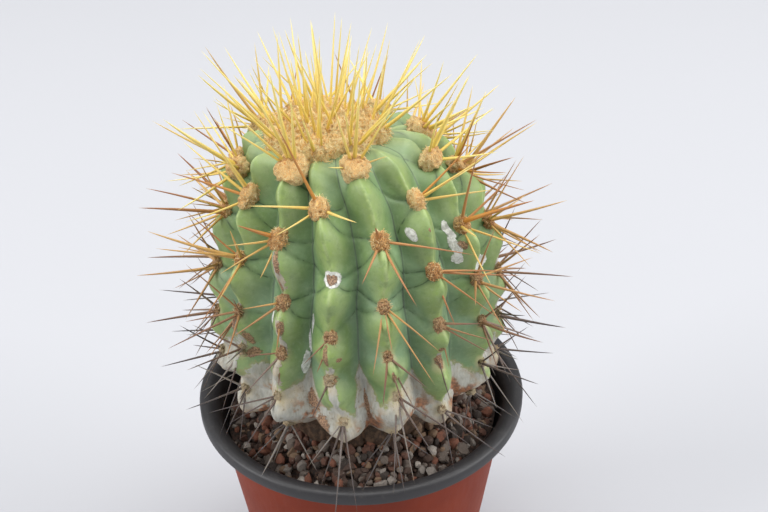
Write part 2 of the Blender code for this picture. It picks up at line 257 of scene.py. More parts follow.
def stamped(name, placed, faces):
    """One mesh of many copies of a model: placed is an array (copies, points, 3)."""
    copies, count, _ = placed.shape
    corners = faces.shape[1]
    index = (faces[None] + (np.arange(copies) * count)[:, None, None]).reshape(-1, corners)
    mesh = bpy.data.meshes.new(name)
    mesh.vertices.add(copies * count)
    mesh.vertices.foreach_set("co", placed.astype(np.float32).ravel())
    mesh.loops.add(index.size)
    mesh.loops.foreach_set("vertex_index", index.astype(np.int32).ravel())
    mesh.polygons.add(len(index))
    mesh.polygons.foreach_set("loop_start", np.arange(0, index.size, corners, dtype=np.int32))
    mesh.update(calc_edges=True)
    mesh.validate()
    obj = bpy.data.objects.new(name, mesh)
    bpy.context.scene.collection.objects.link(obj)
    mesh.shade_smooth()
    return obj


def rod_model(sides, cuts, ends):
    """A rod along +Z, 1 long and 1 in half width, cut across for its taper and bend."""
    bpy.ops.object.select_all(action="DESELECT")
    bpy.ops.mesh.primitive_cylinder_add(vertices=sides, radius=1, depth=1, end_fill_type=ends,
                                        location=(0, 0, 0.5))
    rod = bpy.context.object
    bpy.ops.object.transform_apply(location=True)
    bpy.ops.object.mode_set(mode="EDIT")
    bpy.ops.mesh.select_all(action="DESELECT")
    bpy.ops.mesh.select_mode(type="EDGE")
    bpy.ops.object.mode_set(mode="OBJECT")
    for edge in rod.data.edges:
        a, b = (rod.data.vertices[i].co for i in edge.vertices)
        edge.select = abs(a.z - b.z) > 0.5
    bpy.ops.object.mode_set(mode="EDIT")
    bpy.ops.mesh.subdivide(number_cuts=cuts)
    bpy.ops.object.mode_set(mode="OBJECT")
    return rod


def rounded_model(subdivisions):
    """A ball of unit radius, of which pads and stones are shaped."""
    bpy.ops.object.select_all(action="DESELECT")
    bpy.ops.mesh.primitive_ico_sphere_add(subdivisions=subdivisions, radius=1)
    return bpy.context.object


def side_frames(directions):
    """Two unit vectors square to each direction."""
    helper = np.tile([0.0, 0.0, 1.0], (len(directions), 1))
    helper[np.abs(directions[:, 2]) > 0.9] = [1.0, 0.0, 0.0]
    first = np.cross(directions, helper)
    first /= np.linalg.norm(first, axis=1, keepdims=True)
    return first, np.cross(directions, first)


def unit_rows(vectors):
    return vectors / np.linalg.norm(vectors, axis=1, keepdims=True)


# The stem's form

def crest_outline():
    """Radius and height along a rib crest, from the crown's edge to the lobe's underside."""
    start = math.acos((RIBS_START_RADIUS / WIDEST_RADIUS) ** (UPPER_POWER / 2))
    angle = start * (1 - np.arange(CREST_STEPS) / CREST_STEPS)
    radius = WIDEST_RADIUS * np.cos(angle) ** (2 / UPPER_POWER)
    height = WIDEST_LEVEL + UPPER_HEIGHT * np.sin(angle) ** (2 / UPPER_POWER)
    height -= TOP_DROP * smooth_step(TOP_FLATTENED_FROM, RIBS_START_RADIUS, radius)
    end = math.acos((LOBE_INNER_RADIUS / WIDEST_RADIUS) ** (LOWER_POWER / 2))
    angle = end * np.arange(CREST_STEPS + 1) / CREST_STEPS
    lower_radius = WIDEST_RADIUS * np.cos(angle) ** (2 / LOWER_POWER)
    lower_height = WIDEST_LEVEL - LOWER_HEIGHT * np.sin(angle) ** (2 / LOWER_POWER)
    return np.append(radius, lower_radius), np.append(height, lower_height)


CREST_R, CREST_Z = crest_outline()
CREST_LENGTH = np.append(0, np.cumsum(np.hypot(np.diff(CREST_R), np.diff(CREST_Z))))
CREST_LENGTH -= CREST_LENGTH[np.argmax(CREST_R >= FIRST_AREOLE_RADIUS)]
CROWN_EDGE_LENGTH = CREST_LENGTH[np.argmax(CREST_R >= CROWN_EDGE_RADIUS)]
CREST_SLOPE_R = np.gradient(CREST_R, CREST_LENGTH)
CREST_SLOPE_Z = np.gradient(CREST_Z, CREST_LENGTH)


def crest_at(length):
    """Radius, height and outward normal of the crest at lengths from the first areole."""
    radius = np.interp(length, CREST_LENGTH, CREST_R)
    height = np.interp(length, CREST_LENGTH, CREST_Z)
    along_r = np.interp(length, CREST_LENGTH, CREST_SLOPE_R)
    along_z = np.interp(length, CREST_LENGTH, CREST_SLOPE_Z)
    size = np.hypot(along_r, along_z)
    return radius, height, -along_z / size, along_r / size


def areole_length(number):
    return AREOLE_STEP * number - AREOLE_CLOSING * number ** 2


def areole_number(length):
    root = AREOLE_STEP ** 2 - 4 * AREOLE_CLOSING * length
    return (AREOLE_STEP - np.sqrt(np.maximum(root, 0))) / (2 * AREOLE_CLOSING)


def shift_tables():
    """Sideways and downward shifts at half-numbers of every rib, from the list and by chance."""
    draw = random.Random(3)
    numbers = np.arange(-0.5, 6.1, SHIFT_STEP)
    tables = np.zeros((2, RIBS, len(numbers)))
    for rib in range(RIBS):
        listed = [row for row in AREOLE_SHIFTS if row[0] % RIBS == rib]
        known = [row[1] for row in listed] or FREE_SHIFT_NUMBERS
        for way, table in enumerate(tables):
            shifts = [row[2 + way] * MM for row in listed]
            shifts = shifts or [draw.uniform(-1, 1) * FREE_SHIFT for _ in known]
            table[rib] = np.interp(numbers, known, shifts)
    return numbers, tables[0], tables[1]


SHIFT_NUMBERS, SIDEWAYS_SHIFTS, DOWN_SHIFTS = shift_tables()


def shifted(angle, length):
    """The angle and length to which the areoles' shifts carry a place on the even stem."""
    turn = (angle - FIRST_RIB) / RIB_TURN
    low = np.floor(turn).astype(int)
    blend = smooth_step(0.0, 1.0, turn - low)
    number = np.clip(areole_number(length), SHIFT_NUMBERS[0], SHIFT_NUMBERS[-1] - 0.001)
    cell = (number - SHIFT_NUMBERS[0]) / SHIFT_STEP
    row = cell.astype(int)
    part = smooth_step(0.0, 1.0, cell - row)
    moved = []
    for table in (SIDEWAYS_SHIFTS, DOWN_SHIFTS):
        sides = [table[rib % RIBS, row] * (1 - part) + table[rib % RIBS, row + 1] * part
                 for rib in (low, low + 1)]
        moved.append(sides[0] * (1 - blend) + sides[1] * blend)
    radius = np.interp(length, CREST_LENGTH, CREST_R)
    from_ends = np.minimum(length - CREST_LENGTH[0], CREST_LENGTH[-1] - length)
    hold = np.clip(from_ends / SHIFT_HOLD_LENGTH, 0, 1)
    return angle + moved[0] / radius, length + moved[1] * hold


def leaned(points):
    """Carry points near the crown towards where the growing point really sits."""
    share = np.clip((points[..., 2:3] - LEAN_START) / LEAN_HEIGHT, 0, None) ** LEAN_POWER
    return points + np.array(CROWN_OFFSET) * share


def stem_place(angle, length):
    """What the surface rules need at an angle and a crest length: rib, offset and number."""
    turn = (angle - FIRST_RIB) / RIB_TURN
    rib = np.round(turn)
    offset = 2 * (turn - rib)
    return rib, offset, areole_number(length)


def crease_field(angle, length):
    """The two creases' phases, the length of one phase, and how far a point is in a spindle."""
    rib, offset, number = stem_place(angle, length)
    own = number - np.where(rib % 2 == 1, 0.5, 0.0)
    across = np.abs(offset)
    flat = np.stack([np.cos(angle), np.sin(angle), length / WIDEST_RADIUS], -1) * WIDEST_RADIUS
    own = own + CREASE_WANDER * across * ripple(flat, CREASE_WANDER_SIZE, 6)
    part = across / 2
    bend = CREASE_SAG * (4 * part * (1 - part)) ** 1.5
    leaving = own - 0.5 * part - bend
    arriving = own + 0.5 * part - bend
    leaving -= np.round(leaving)
    arriving -= np.round(arriving)
    spacing = AREOLE_STEP - 2 * AREOLE_CLOSING * number
    run = np.interp(length, CREST_LENGTH, CREST_R) * RIB_TURN
    slant = 1 / np.sqrt(1 + (CREASE_SLOPE * spacing / run) ** 2)
    fraction = own - np.floor(own)
    spindle = np.sin(math.pi * np.clip(fraction, 0, 1) ** 0.8) ** 1.2
    reach = SPINDLE_END + SPINDLE_MIDDLE * spindle + SPINDLE_LEAN * fraction
    inside = np.clip(1 - across / reach, -1, 1)
    return leaving, arriving, spacing * slant, inside


def stem_surface(even_angle, even_length, fine=True):
    """Points of the stem's ribbed skin, with the outward normal of the crest there."""
    rib, offset, number = stem_place(even_angle, even_length)
    angle, length = shifted(even_angle, even_length)
    radius, height, out_r, out_z = crest_at(length)
    across = np.abs(offset)
    from_top = length - CROWN_EDGE_LENGTH
    from_end = CREST_LENGTH[-1] - length
    depth = GROOVE_DEPTH * np.clip(CROWN_GROOVE_SHARE + from_top / CROWN_GROOVE_LENGTH, 0.2, 1)
    depth = depth * np.minimum(1, LOBE_GROOVE_SHARE + from_end / LOBE_GROOVE_LENGTH)
    swell = np.clip(np.minimum(from_top, from_end) / CHIN_FADE_LENGTH, 0, 1)
    phase = number - np.where(rib % 2 == 1, 0.5, 0.0)
    chin = np.sin(2 * math.pi * phase - CHIN_PHASE) * (1 - across ** 2)
    if fine:
        full = GROOVE_DEPTH * smooth_step(-0.8, 1, np.minimum(from_top / YOUNG_GROOVE_LENGTH, 1))
        full = full * np.minimum(1, LOBE_GROOVE_SHARE + from_end / LOBE_GROOVE_LENGTH)
        groove = GROOVE_DEEPENED * np.maximum(full, depth) * across ** FLANK_POWER
        leaving, arriving, apart, inside = crease_field(even_angle, even_length)
        crease = np.exp(-(np.minimum(np.abs(leaving), np.abs(arriving)) * apart / CREASE_HALF_WIDTH) ** 2)
        young = smooth_step(CREASES_FADE[1], CREASES_FADE[0], number)
        folds = (CHIN_SWELL + CHIN_STEP) * chin
        folds -= by_age((1, OLD_CREASE_SHARE), 1 - young) * CREASE_DEPTH * crease
        spindle = smooth_step(-0.2, 0.42, inside)
        folds += by_age((1, OLD_SPINDLE_SHARE), 1 - young) * SPINDLE_RISE * spindle
        folds += CREST_RIDGE * np.exp(-(across / CREST_RIDGE_SHARE) ** 2)
        flat = np.stack([radius * np.cos(angle), radius * np.sin(angle), height], -1)
        pointed = smooth_step(LOBE_POINT_LENGTH, 0, from_end) * across ** LOBE_BLUNTNESS
        height = height + LOBE_DRAWN_UP * pointed
        radius = radius - LOBE_DRAWN_IN * pointed
        aged = smooth_step(*AGED_LEVELS, height)
        rise = swell * folds - groove + relief(flat, SKIN_RELIEF) + aged * relief(flat, AGED_RELIEF)
        angle = angle + swell * CREST_WAVER * ripple(flat, CREST_WAVER_SIZE, 5)
    else:
        rise = swell * CHIN_SWELL * chin - depth * across ** GROOVE_SHARPNESS
    r = radius + out_r * rise
    points = np.stack([r * np.cos(angle), r * np.sin(angle), height + out_z * rise], -1)
    return leaned(points), out_r, out_z


def make_stem(material):
    """The ribbed stem: a globe's rings are laid along the crest's outline."""
    bpy.ops.object.select_all(action="DESELECT")
    bpy.ops.mesh.primitive_uv_sphere_add(segments=STEM_COLUMNS, ring_count=STEM_ROWS, radius=1)
    stem = bpy.context.object
    globe = points_of(stem)
    row = np.round(np.arccos(np.clip(globe[:, 2], -1, 1)) * STEM_ROWS / math.pi)
    column = np.round(np.arctan2(globe[:, 1], globe[:, 0]) * STEM_COLUMNS / (2 * math.pi))
    angle = FIRST_RIB + column * 2 * math.pi / STEM_COLUMNS
    last = STEM_ROWS - NECK_ROWS
    share = np.clip((row - DISH_ROWS) / (last - DISH_ROWS), 0, 1)
    length = CREST_LENGTH[0] + share * (CREST_LENGTH[-1] - CREST_LENGTH[0])
    points, _, _ = stem_surface(angle, length)
    dish = row < DISH_ROWS
    points[dish] = dish_points(angle[dish], row[dish] / (DISH_ROWS - 1))
    neck = row > last
    points[neck] = neck_points(angle[neck], (row[neck] - last) / NECK_ROWS)
    set_points(stem, points)
    select_only(stem)
    bpy.ops.object.mode_set(mode="EDIT")
    bpy.ops.mesh.select_all(action="SELECT")
    bpy.ops.mesh.normals_make_consistent(inside=False)
    bpy.ops.object.mode_set(mode="OBJECT")
    bpy.ops.object.shade_smooth()
    paint_fields(stem, points, angle, length)
    return finish_piece(stem, "stem_skin", material, "cactus_body")


def dish_points(angle, outward):
    """The flat dish under the wool, at shares of the way from its middle to its edge."""
    turned, _ = shifted(angle, np.full(len(angle), CREST_LENGTH[0]))
    radius = DISH_RADIUS * outward
    level = np.full(len(angle), DISH_LEVEL)
    return leaned(np.stack([radius * np.cos(turned), radius * np.sin(turned), level], -1))


def neck_points(angle, down):
    """The neck: a smooth curve from the lobes' underside in and down into the soil."""
    edge, _, _ = stem_surface(angle, np.full(len(angle), CREST_LENGTH[-1]))
    start = np.stack([np.hypot(edge[:, 0], edge[:, 1]), edge[:, 2]])
    top = np.array(NECK_TOP)[:, None]
    pulled = start - np.array(NECK_CURVE_PULL)[:, None]
    t = np.clip(down / NECK_CURVE_SHARE, 0, 1)
    r, z = start * (1 - t) ** 2 + 2 * t * (1 - t) * pulled + t ** 2 * top
    s = np.clip((down - NECK_CURVE_SHARE) / NECK_STRAIGHT_SHARE, 0, 1)
    straight = down > NECK_CURVE_SHARE
    r = np.where(straight, top[0] + (NECK_RADIUS - top[0]) * smooth_step(0, 0.5, s), r)
    z = np.where(straight, top[1] + (RIM_LEVEL - NECK_DEPTH - top[1]) * s, z)
    closed_from = NECK_CURVE_SHARE + NECK_STRAIGHT_SHARE
    closing = np.clip((down - closed_from) / (1 - closed_from), 0, 1)
    r = r * (1 - closing)
    place = np.stack([r * np.cos(angle), r * np.sin(angle), z], -1)
    _, offset, _ = stem_place(angle, CREST_LENGTH[-1])
    old_lobes = np.exp(-((z - OLD_LOBE_LEVEL) / OLD_LOBE_HEIGHT) ** 2) * (1 - offset ** 2) ** 0.6
    r = r + OLD_LOBE_SWELL * old_lobes * (1 + 0.35 * ripple(place, 12 * MM, 10))
    barky = (closing == 0) * np.minimum(1, down * 6) * (z > BARK_ABOVE)
    r = r + relief(place, BARK_RELIEF) * barky
    return np.stack([r * np.cos(angle), r * np.sin(angle), z], -1)


# Smooth pale scars: rib with a part towards the next one, height above the rim,
# half width and half height in millimetres.
PALE_SCARS = (
    (2.72, 81.2, 1.2, 2.2),
    (3.75, 77.3, 1.0, 2.4), (3.71, 73.2, 1.1, 3.0), (3.69, 69.2, 1.3, 1.9),
    (-0.25, 56.0, 1.5, 2.0),
    (0.58, 54.5, 0.7, 3.4), (0.50, 47.5, 0.8, 4.6), (0.42, 40.0, 1.2, 5.0),
    (4.6, 58.0, 2.6, 4.0), (4.2, 53.5, 1.8, 4.5),
    (6.4, 62.0, 2.2, 5.0), (8.5, 50.0, 2.4, 6.0), (10.3, 70.0, 1.8, 2.6), (12.6, 48.0, 1.8, 7.0),
)
# Cork that runs down along a rib's crest: rib, top and bottom height, half width.
CREST_CORK = (
    (0, 80.0, 63.0, 1.7), (0, 61.0, 27.0, 1.7), (1, 45.0, 24.0, 1.5), (-1, 54.0, 30.0, 1.6),
    (3, 44.0, 36.0, 1.2), (5, 60.0, 34.0, 1.3), (7, 58.0, 30.0, 1.4), (9, 66.0, 40.0, 1.1),
    (12, 62.0, 34.0, 1.5), (13, 46.0, 26.0, 1.6),
)
# Rough brown scabs.
SCABS = (
    (0.98, 48.5, 1.0, 4.5), (1.17, 46.6, 1.0, 1.2), (1.0, 38.0, 2.6, 1.6),
    (0.04, 55.5, 1.5, 3.2), (0.0, 46.0, 1.5, 2.0), (0.03, 76.0, 0.8, 4.5), (-0.02, 68.0, 0.7, 3.0),
    (-0.85, 43.5, 1.6, 3.4), (-0.8, 37.8, 2.2, 1.6), (-1.0, 50.0, 0.9, 5.0),
    (3.0, 39.5, 1.9, 2.6), (2.95, 45.2, 0.9, 1.5), (3.0, 83.4, 0.5, 0.7), (3.80, 73.6, 1.0, 1.4),
    (2.0, 40.5, 0.8, 2.6), (0.54, 25.5, 1.9, 4.4), (0.66, 18.0, 2.2, 4.0), (1.5, 25.0, 1.0, 6.0),
    (5.0, 47.0, 1.4, 3.0), (6.0, 40.0, 1.5, 3.5), (8.0, 44.0, 1.4, 4.0), (10.0, 37.0, 1.8, 3.0),
    (12.0, 44.0, 1.4, 4.0), (14.0, 38.0, 1.6, 3.0),
)
# Where the grey cork that rises from the plant's foot ends: ribs and heights above the rim.
CORK_EDGE_RIBS = (0, 0.25, 0.5, 0.75, 1, 1.2, 1.5, 1.75, 2, 2.5, 2.75, 3, 3.5, 4, 4.5, 5, 6, 6.5, 7.5,
                  8, 8.5, 9.5, 10, 10.5, 11.5, 12, 12.5, 13.3, 14, 14.5, 15, 15.4, 16)
CORK_EDGE_LEVELS = (28, 31, 37, 24, 29, 22, 40, 27, 30, 35, 25, 22, 31, 22, 32, 24, 26, 36, 26,
                    20, 34, 26, 22, 36, 24, 20, 38, 26, 28, 33, 29, 35, 28)


# A distance in millimetres that no material tells from a greater one.
FAR = 20.0


def mark_field(points, turn, marks):
    """How near each point is to the nearest mark: 1 at its middle and 0 at its edge."""
    field = np.full(len(points), -1.0)
    radius = np.hypot(points[:, 0], points[:, 1]) / MM
    height = (points[:, 2] - RIM_LEVEL) / MM
    for rib, level, half_width, half_height in marks:
        swing = ((turn - rib + RIBS / 2) % RIBS - RIBS / 2) * RIB_TURN
        away = np.hypot(swing * radius / half_width, (height - level) / half_height)
        field = np.maximum(field, 1 - away)
    return field


def paint_fields(stem, points, angle, length):
    """What the skin's material reads: creases, grooves, spindles, scars and areoles.

    A crease's distance is kept as a sine with its sign and with its cosine beside it, so that
    it stays exact where it is read between the mesh's points.
    """
    leaving, arriving, apart, inside = crease_field(angle, length)
    rib, offset, number = stem_place(angle, length)
    turn = (angle - FIRST_RIB) / RIB_TURN
    streaks = [(rib, (top + low) / 2, wide, (top - low) / 2) for rib, top, low, wide in CREST_CORK]
    edge = np.interp(turn % RIBS, CORK_EDGE_RIBS, CORK_EDGE_LEVELS)
    set_attribute(stem, "cork_edge", (points[:, 2] - RIM_LEVEL) / MM - edge)
    for name, phase in (("leaving", leaving), ("arriving", arriving)):
        turned = 2 * math.pi * phase
        set_attribute(stem, name, np.sin(turned) / (2 * math.pi) * apart / MM)
        set_attribute(stem, name + "_near", np.cos(turned))
    set_attribute(stem, "spindle", inside)
    set_attribute(stem, "number", number)
    set_attribute(stem, "across", np.abs(offset))
    set_attribute(stem, "scar", mark_field(points, turn, PALE_SCARS))
    set_attribute(stem, "streak", mark_field(points, turn, streaks))
    set_attribute(stem, "scab", mark_field(points, turn, SCABS))
    near = np.full(len(points), FAR)
    for place in areole_places():
        away = (points - np.array(place["centre"])) / MM
        near = np.minimum(near, np.linalg.norm(away, axis=1))
        if (place["rib"], place["number"]) == RINGED_AREOLE:
            set_attribute(stem, "bare", np.linalg.norm(away * RINGED_STRETCH, axis=1))
    set_attribute(stem, "areole", near)


# Areoles and spines

def areole_places():
    """Every areole on the stem, in the order in which the solid has them."""
    places = []
    for rib in range(RIBS):
        for number in (ODD_RIB_AREOLES if rib % 2 else EVEN_RIB_AREOLES):
            length = areole_length(number)
            angle = FIRST_RIB + RIB_TURN * rib
            point, out_r, out_z = stem_surface(np.array([angle]), np.array([length]), fine=False)
            turned = float(shifted(np.array([angle]), np.array([length]))[0][0])
            out = Vector((math.cos(turned), math.sin(turned), 0))
            face = (out * float(out_r[0]) + Vector((0, 0, float(out_z[0])))).normalized()
            side = Vector((0, 0, 1)).cross(out)
            uphill = face.cross(side)
            if uphill.z < 0:
                uphill = -uphill
            places.append({"centre": Vector(point[0]), "face": face, "side": side, "uphill": uphill,
                           "number": number, "rib": rib, "age": number / EVEN_RIB_AREOLES[-1]})
    return places


# Sizes on the youngest and on the oldest areole.
PAD_RADII = (4.6 * MM, 2.6 * MM)
CENTRAL_LENGTHS = (31, 20)
RADIAL_LENGTHS = (25, 16)
SPINE_HALF_WIDTHS = (0.66 * MM, 0.42 * MM)
# Where none can be counted: clock angles, tilts in degrees and lengths in millimetres.
YOUNG_AREOLES = 2.6
YOUNG_RADIALS, OLD_RADIALS = 5, 3
CENTRAL_TILTS = (4, 14)
RADIAL_TILTS = (44, 62)
RADIAL_CLOCK_SPREAD = (-16, 16)
RADIAL_LENGTH_SPREAD = (-3.5, 2.5)
# An old areole has one more that hangs, and a young one sometimes a second central spine.
HANGING_FROM = 2.2
HANGING = ((150, 210), (50, 68), (16, 27))
SECOND_CENTRAL_UNTIL = 2
SECOND_CENTRAL_CHANCE = 0.6
SECOND_CENTRAL = ((0, 360), (25, 45), (20, 30))
# Spines keep clear of the rim and of the grit, and point away from the plant.
RIM_CLEARANCE = 1.0 * MM
SOIL_CLEARANCE = 2.0 * MM
WITHIN_RIM = 50 * MM
OUTWARD_SHARE = 0.2
TURN_STEP = 0.08
MOST_TURNS = 60
# A spine that stands up from its areole is thicker than one that lies close to the stem.
UPRIGHT_TILT = 40
UPRIGHT_THICK, LYING_THICK = 1.2, 0.84
SPINE_ROOTED = 0.3 * MM
SPINE_ROOT_SPREAD = 0.3

# Spines that can be counted in the photo: rib and number of the areole, and for each spine
# its clock angle from uphill to the right and its tilt from the areole's axis in degrees, and
# its length in millimetres. The lost areole has none.
SEEN_SPINES = {
    (0, 0.0): ((300, 50, 31), (286, 60, 27), (352, 24, 33), (333, 38, 27), (20, 30, 26)),
    (1, 0.5): ((336, 48, 31), (266, 72, 20), (228, 62, 15), (108, 62, 14)),
    (2, 0.0): ((2, 18, 34), (40, 42, 30), (270, 72, 8), (82, 72, 9), (335, 40, 24)),
    (3, 0.5): ((58, 58, 25), (82, 68, 21), (106, 64, 23), (74, 40, 30)),
    (4, 0.0): ((10, 24, 30), (62, 48, 29), (98, 50, 28), (136, 55, 22), (320, 40, 22)),
    (-1, 0.5): ((318, 46, 30), (285, 55, 27), (258, 56, 26), (205, 50, 20), (350, 30, 26)),
    (0, 1.0): ((292, 26, 14), (248, 52, 15), (224, 70, 20), (186, 72, 12)),
    (2, 1.0): ((106, 64, 27), (220, 60, 15), (164, 60, 22), (330, 30, 9)),
    (1, 1.5): (),
    (3, 1.5): ((102, 58, 21), (107, 68, 27), (143, 64, 24), (177, 72, 17)),
    (0, 2.0): ((226, 70, 19), (176, 76, 15), (262, 40, 12)),
    (2, 2.0): ((199, 64, 20), (177, 62, 13), (152, 66, 27), (133, 70, 21)),
    (1, 2.5): ((226, 66, 11), (200, 74, 11)),
    (3, 2.5): ((116, 55, 17), (132, 62, 18), (181, 74, 13), (70, 30, 14)),
    (0, 3.0): ((214, 64, 18), (179, 76, 10), (270, 50, 12)),
    (2, 3.0): ((195, 64, 14), (168, 60, 21), (131, 66, 15), (158, 72, 17)),
    (1, 3.5): ((204, 62, 12),),
    (3, 3.5): ((182, 60, 12),),
    (0, 4.0): ((248, 66, 25), (234, 56, 19), (196, 40, 20)),
    (2, 4.0): ((193, 58, 30), (178, 52, 27), (124, 60, 28), (150, 44, 22)),
    (1, 4.5): ((225, 56, 17), (181, 48, 32), (166, 52, 28), (200, 64, 22)),
    (3, 4.5): ((140, 56, 28), (186, 56, 20), (120, 62, 20)),
}
# Areoles whose first spine is amber among paler ones, and those with amber ones only.
AMBER_FIRST = ((1, 0.5), (0, 1.0), (3, 0.5))
AMBER_ONLY = ((2, 1.0), (3, 1.5))


def keep_clear(place, direction, length, out):
    """Turn a spine so that it passes over the pot's rim, or ends above the grit inside it."""
    direction = direction.normalized()
    for _ in range(MOST_TURNS):
        tip = place + direction * length
        inside = math.hypot(tip.x, tip.y) < WITHIN_RIM
        lowest = soil_level(tip.x) + SOIL_CLEARANCE if inside else RIM_LEVEL + RIM_CLEARANCE
        if tip.z < lowest:
            direction = (direction + Vector((0, 0, TURN_STEP))).normalized()
        elif direction.dot(out) < OUTWARD_SHARE:
            direction = (direction + out * TURN_STEP).normalized()
        else:
            break
    return direction


def even_spines(place, draw):
    """Clock angle, tilt and length of an areole's spines where none could be counted."""
    age, number = place["age"], place["number"]
    radials = YOUNG_RADIALS if number < YOUNG_AREOLES else OLD_RADIALS
    turn = 180 / radials if place["rib"] % 2 else 0
    rows = [(draw.uniform(0, 360), draw.uniform(*CENTRAL_TILTS), by_age(CENTRAL_LENGTHS, age))]
    for spine in range(radials):
        clock = turn + 360 / radials * (spine + 1) + draw.uniform(*RADIAL_CLOCK_SPREAD)
        length = by_age(RADIAL_LENGTHS, age) + draw.uniform(*RADIAL_LENGTH_SPREAD)
        rows.append((clock, draw.uniform(*RADIAL_TILTS), length))
    if number > HANGING_FROM:
        rows.append([draw.uniform(*limits) for limits in HANGING])
    if number < SECOND_CENTRAL_UNTIL and draw.random() < SECOND_CENTRAL_CHANCE:
        rows.append([draw.uniform(*limits) for limits in SECOND_CENTRAL])
    return rows


def tone_of(key, order, tone):
    """A spine's tone, by chance unless its areole is one of the amber ones."""
    if key in AMBER_FIRST:
        return 1.0 if order == 0 else 0.5 * tone
    if key in AMBER_ONLY:
        return 0.85 + 0.07 * tone
    return tone


def stem_spines():
    """Root, direction, length, width, age, tone and bend of each of the stem's spines."""
    draw = random.Random(7)
    spines = []
    for place in areole_places():
        age, centre = place["age"], place["centre"]
        face, uphill, side = place["face"], place["uphill"], place["side"]
        out = Vector((face.x, face.y, 0)).normalized()
        rib = place["rib"] - RIBS if place["rib"] > RIBS // 2 else place["rib"]
        key = (rib, place["number"])
        rows = even_spines(place, draw)
        for order, (clock, tilt, length) in enumerate(SEEN_SPINES.get(key, rows)):
            length = length * MM
            tone = tone_of(key, order, draw.random())
            clock, lean = math.radians(clock), math.radians(tilt)
            around = uphill * math.cos(clock) + side * math.sin(clock)
            direction = face * math.cos(lean) + around * math.sin(lean)
            direction = keep_clear(centre, direction, length, out)
            width = by_age(SPINE_HALF_WIDTHS, age) * draw.uniform(0.78, 1.22)
            width *= UPRIGHT_THICK if tilt < UPRIGHT_TILT else LYING_THICK
            root = centre + face * SPINE_ROOTED + around * SPINE_ROOT_SPREAD * by_age(PAD_RADII, age)
            spines.append({"root": root, "direction": direction, "length": length,
                           "width": width, "age": age + draw.uniform(-0.03, 0.03),
                           "tone": tone, "bend": draw.uniform(-0.06, 0.1)})
    return spines


# The crown's wool: a dome over the dish, whose edge wavers and laps over the ribs' tips.
WOOL_RADIUS = 18.4 * MM
WOOL_HEIGHT = 6.2 * MM
WOOL_BASE = DISH_LEVEL + 0.3 * MM
WOOL_EDGE_WAVER = 0.6 * MM
WOOL_SKIRT = 3.4 * MM
# The share of the wool's radius at which its top starts to roll over into its side.
WOOL_ROLL_FROM = 0.9
WOOL_SHIFT = Vector((-1.5, 0, 0)) * MM
WOOL_COLUMNS = 192
WOOL_ROWS = 110
CROWN_CURL = 0.9 * MM
CROWN_CURL_SIZES = (2.0 * MM, 4.5 * MM)
# The crown's tufts: how many in a ring, the ring's radius, lean in degrees and spines a tuft.
TUFT_RINGS = ((1, 0.0, 0.0, 3), (6, 7.5 * MM, 13.0, 3), (8, 16.4 * MM, 31.0, 4))
TUFT_RADIUS = 4.9 * MM
TUFT_SUNK = 0.35
TUFT_FLATNESS = 0.8
TUFT_ROOT_RISE = 0.2
TUFT_ROOT_SPREAD = 0.4
CROWN_SPINE_LENGTHS = (22 * MM, 33 * MM)
CROWN_SPINE_SPREADS = (5, 32)
CROWN_SPINE_HALF_WIDTH = 0.56 * MM
# The wool is younger than the first areoles, whose age is 0.
CROWN_WOOL_AGE = -0.1
CROWN_SPINE_AGE = -0.15


def wool_level(radius):
    """Height of the wool's dome above its base at distances from its middle."""
    return WOOL_HEIGHT * (0.6 + 0.4 * np.sqrt(1 - np.minimum(radius / WOOL_RADIUS, 1) ** 2))


def crown_tufts():
    """The tufts of the crown and the spines in each."""
    draw = random.Random(11)
    tufts, spines = [], []
    for count, ring_radius, lean, spine_count in TUFT_RINGS:
        for i in range(count):
            angle = FIRST_RIB + RIB_TURN + 2 * math.pi * i / count
            radius = TUFT_RADIUS * draw.uniform(0.85, 1.1)
            level = WOOL_BASE + float(wool_level(ring_radius)) - TUFT_SUNK * radius
            centre = Vector((ring_radius * math.cos(angle), ring_radius * math.sin(angle), level))
            centre = Vector(leaned(np.array(centre))) + WOOL_SHIFT
            tufts.append((centre, radius))
            out = Vector((math.cos(angle), math.sin(angle), 0)) if ring_radius else Vector((1, 0, 0))
            side = Vector((0, 0, 1)).cross(out)
            axis = out * math.sin(math.radians(lean)) + Vector((0, 0, math.cos(math.radians(lean))))
            for k in range(spine_count):
                clock = 2 * math.pi * (k + draw.uniform(-0.3, 0.3)) / spine_count
                spread = math.radians(draw.uniform(*CROWN_SPINE_SPREADS))
                around = out * math.cos(clock) + side * math.sin(clock)
                direction = (axis * math.cos(spread) + around * math.sin(spread)).normalized()
                root = centre + (Vector((0, 0, TUFT_ROOT_RISE)) + around * TUFT_ROOT_SPREAD) * radius
                width = CROWN_SPINE_HALF_WIDTH * draw.uniform(0.75, 1.2)
                length = draw.uniform(*CROWN_SPINE_LENGTHS)
                spines.append({"root": root, "direction": direction, "length": length,
                               "width": width, "age": CROWN_SPINE_AGE,
                               "tone": draw.random(), "bend": draw.uniform(-0.03, 0.08)})
    return tufts, spines


# A spine's form: a bulb at its root, a taper, a tip and the part that is buried in its pad.
SPINE_BULB = 0.35
SPINE_BULB_SHARE = 0.05
SPINE_TAPER_POWER = 0.62
SPINE_TIP_SHARE = 0.015
SPINE_BURIED = 1.2 * MM


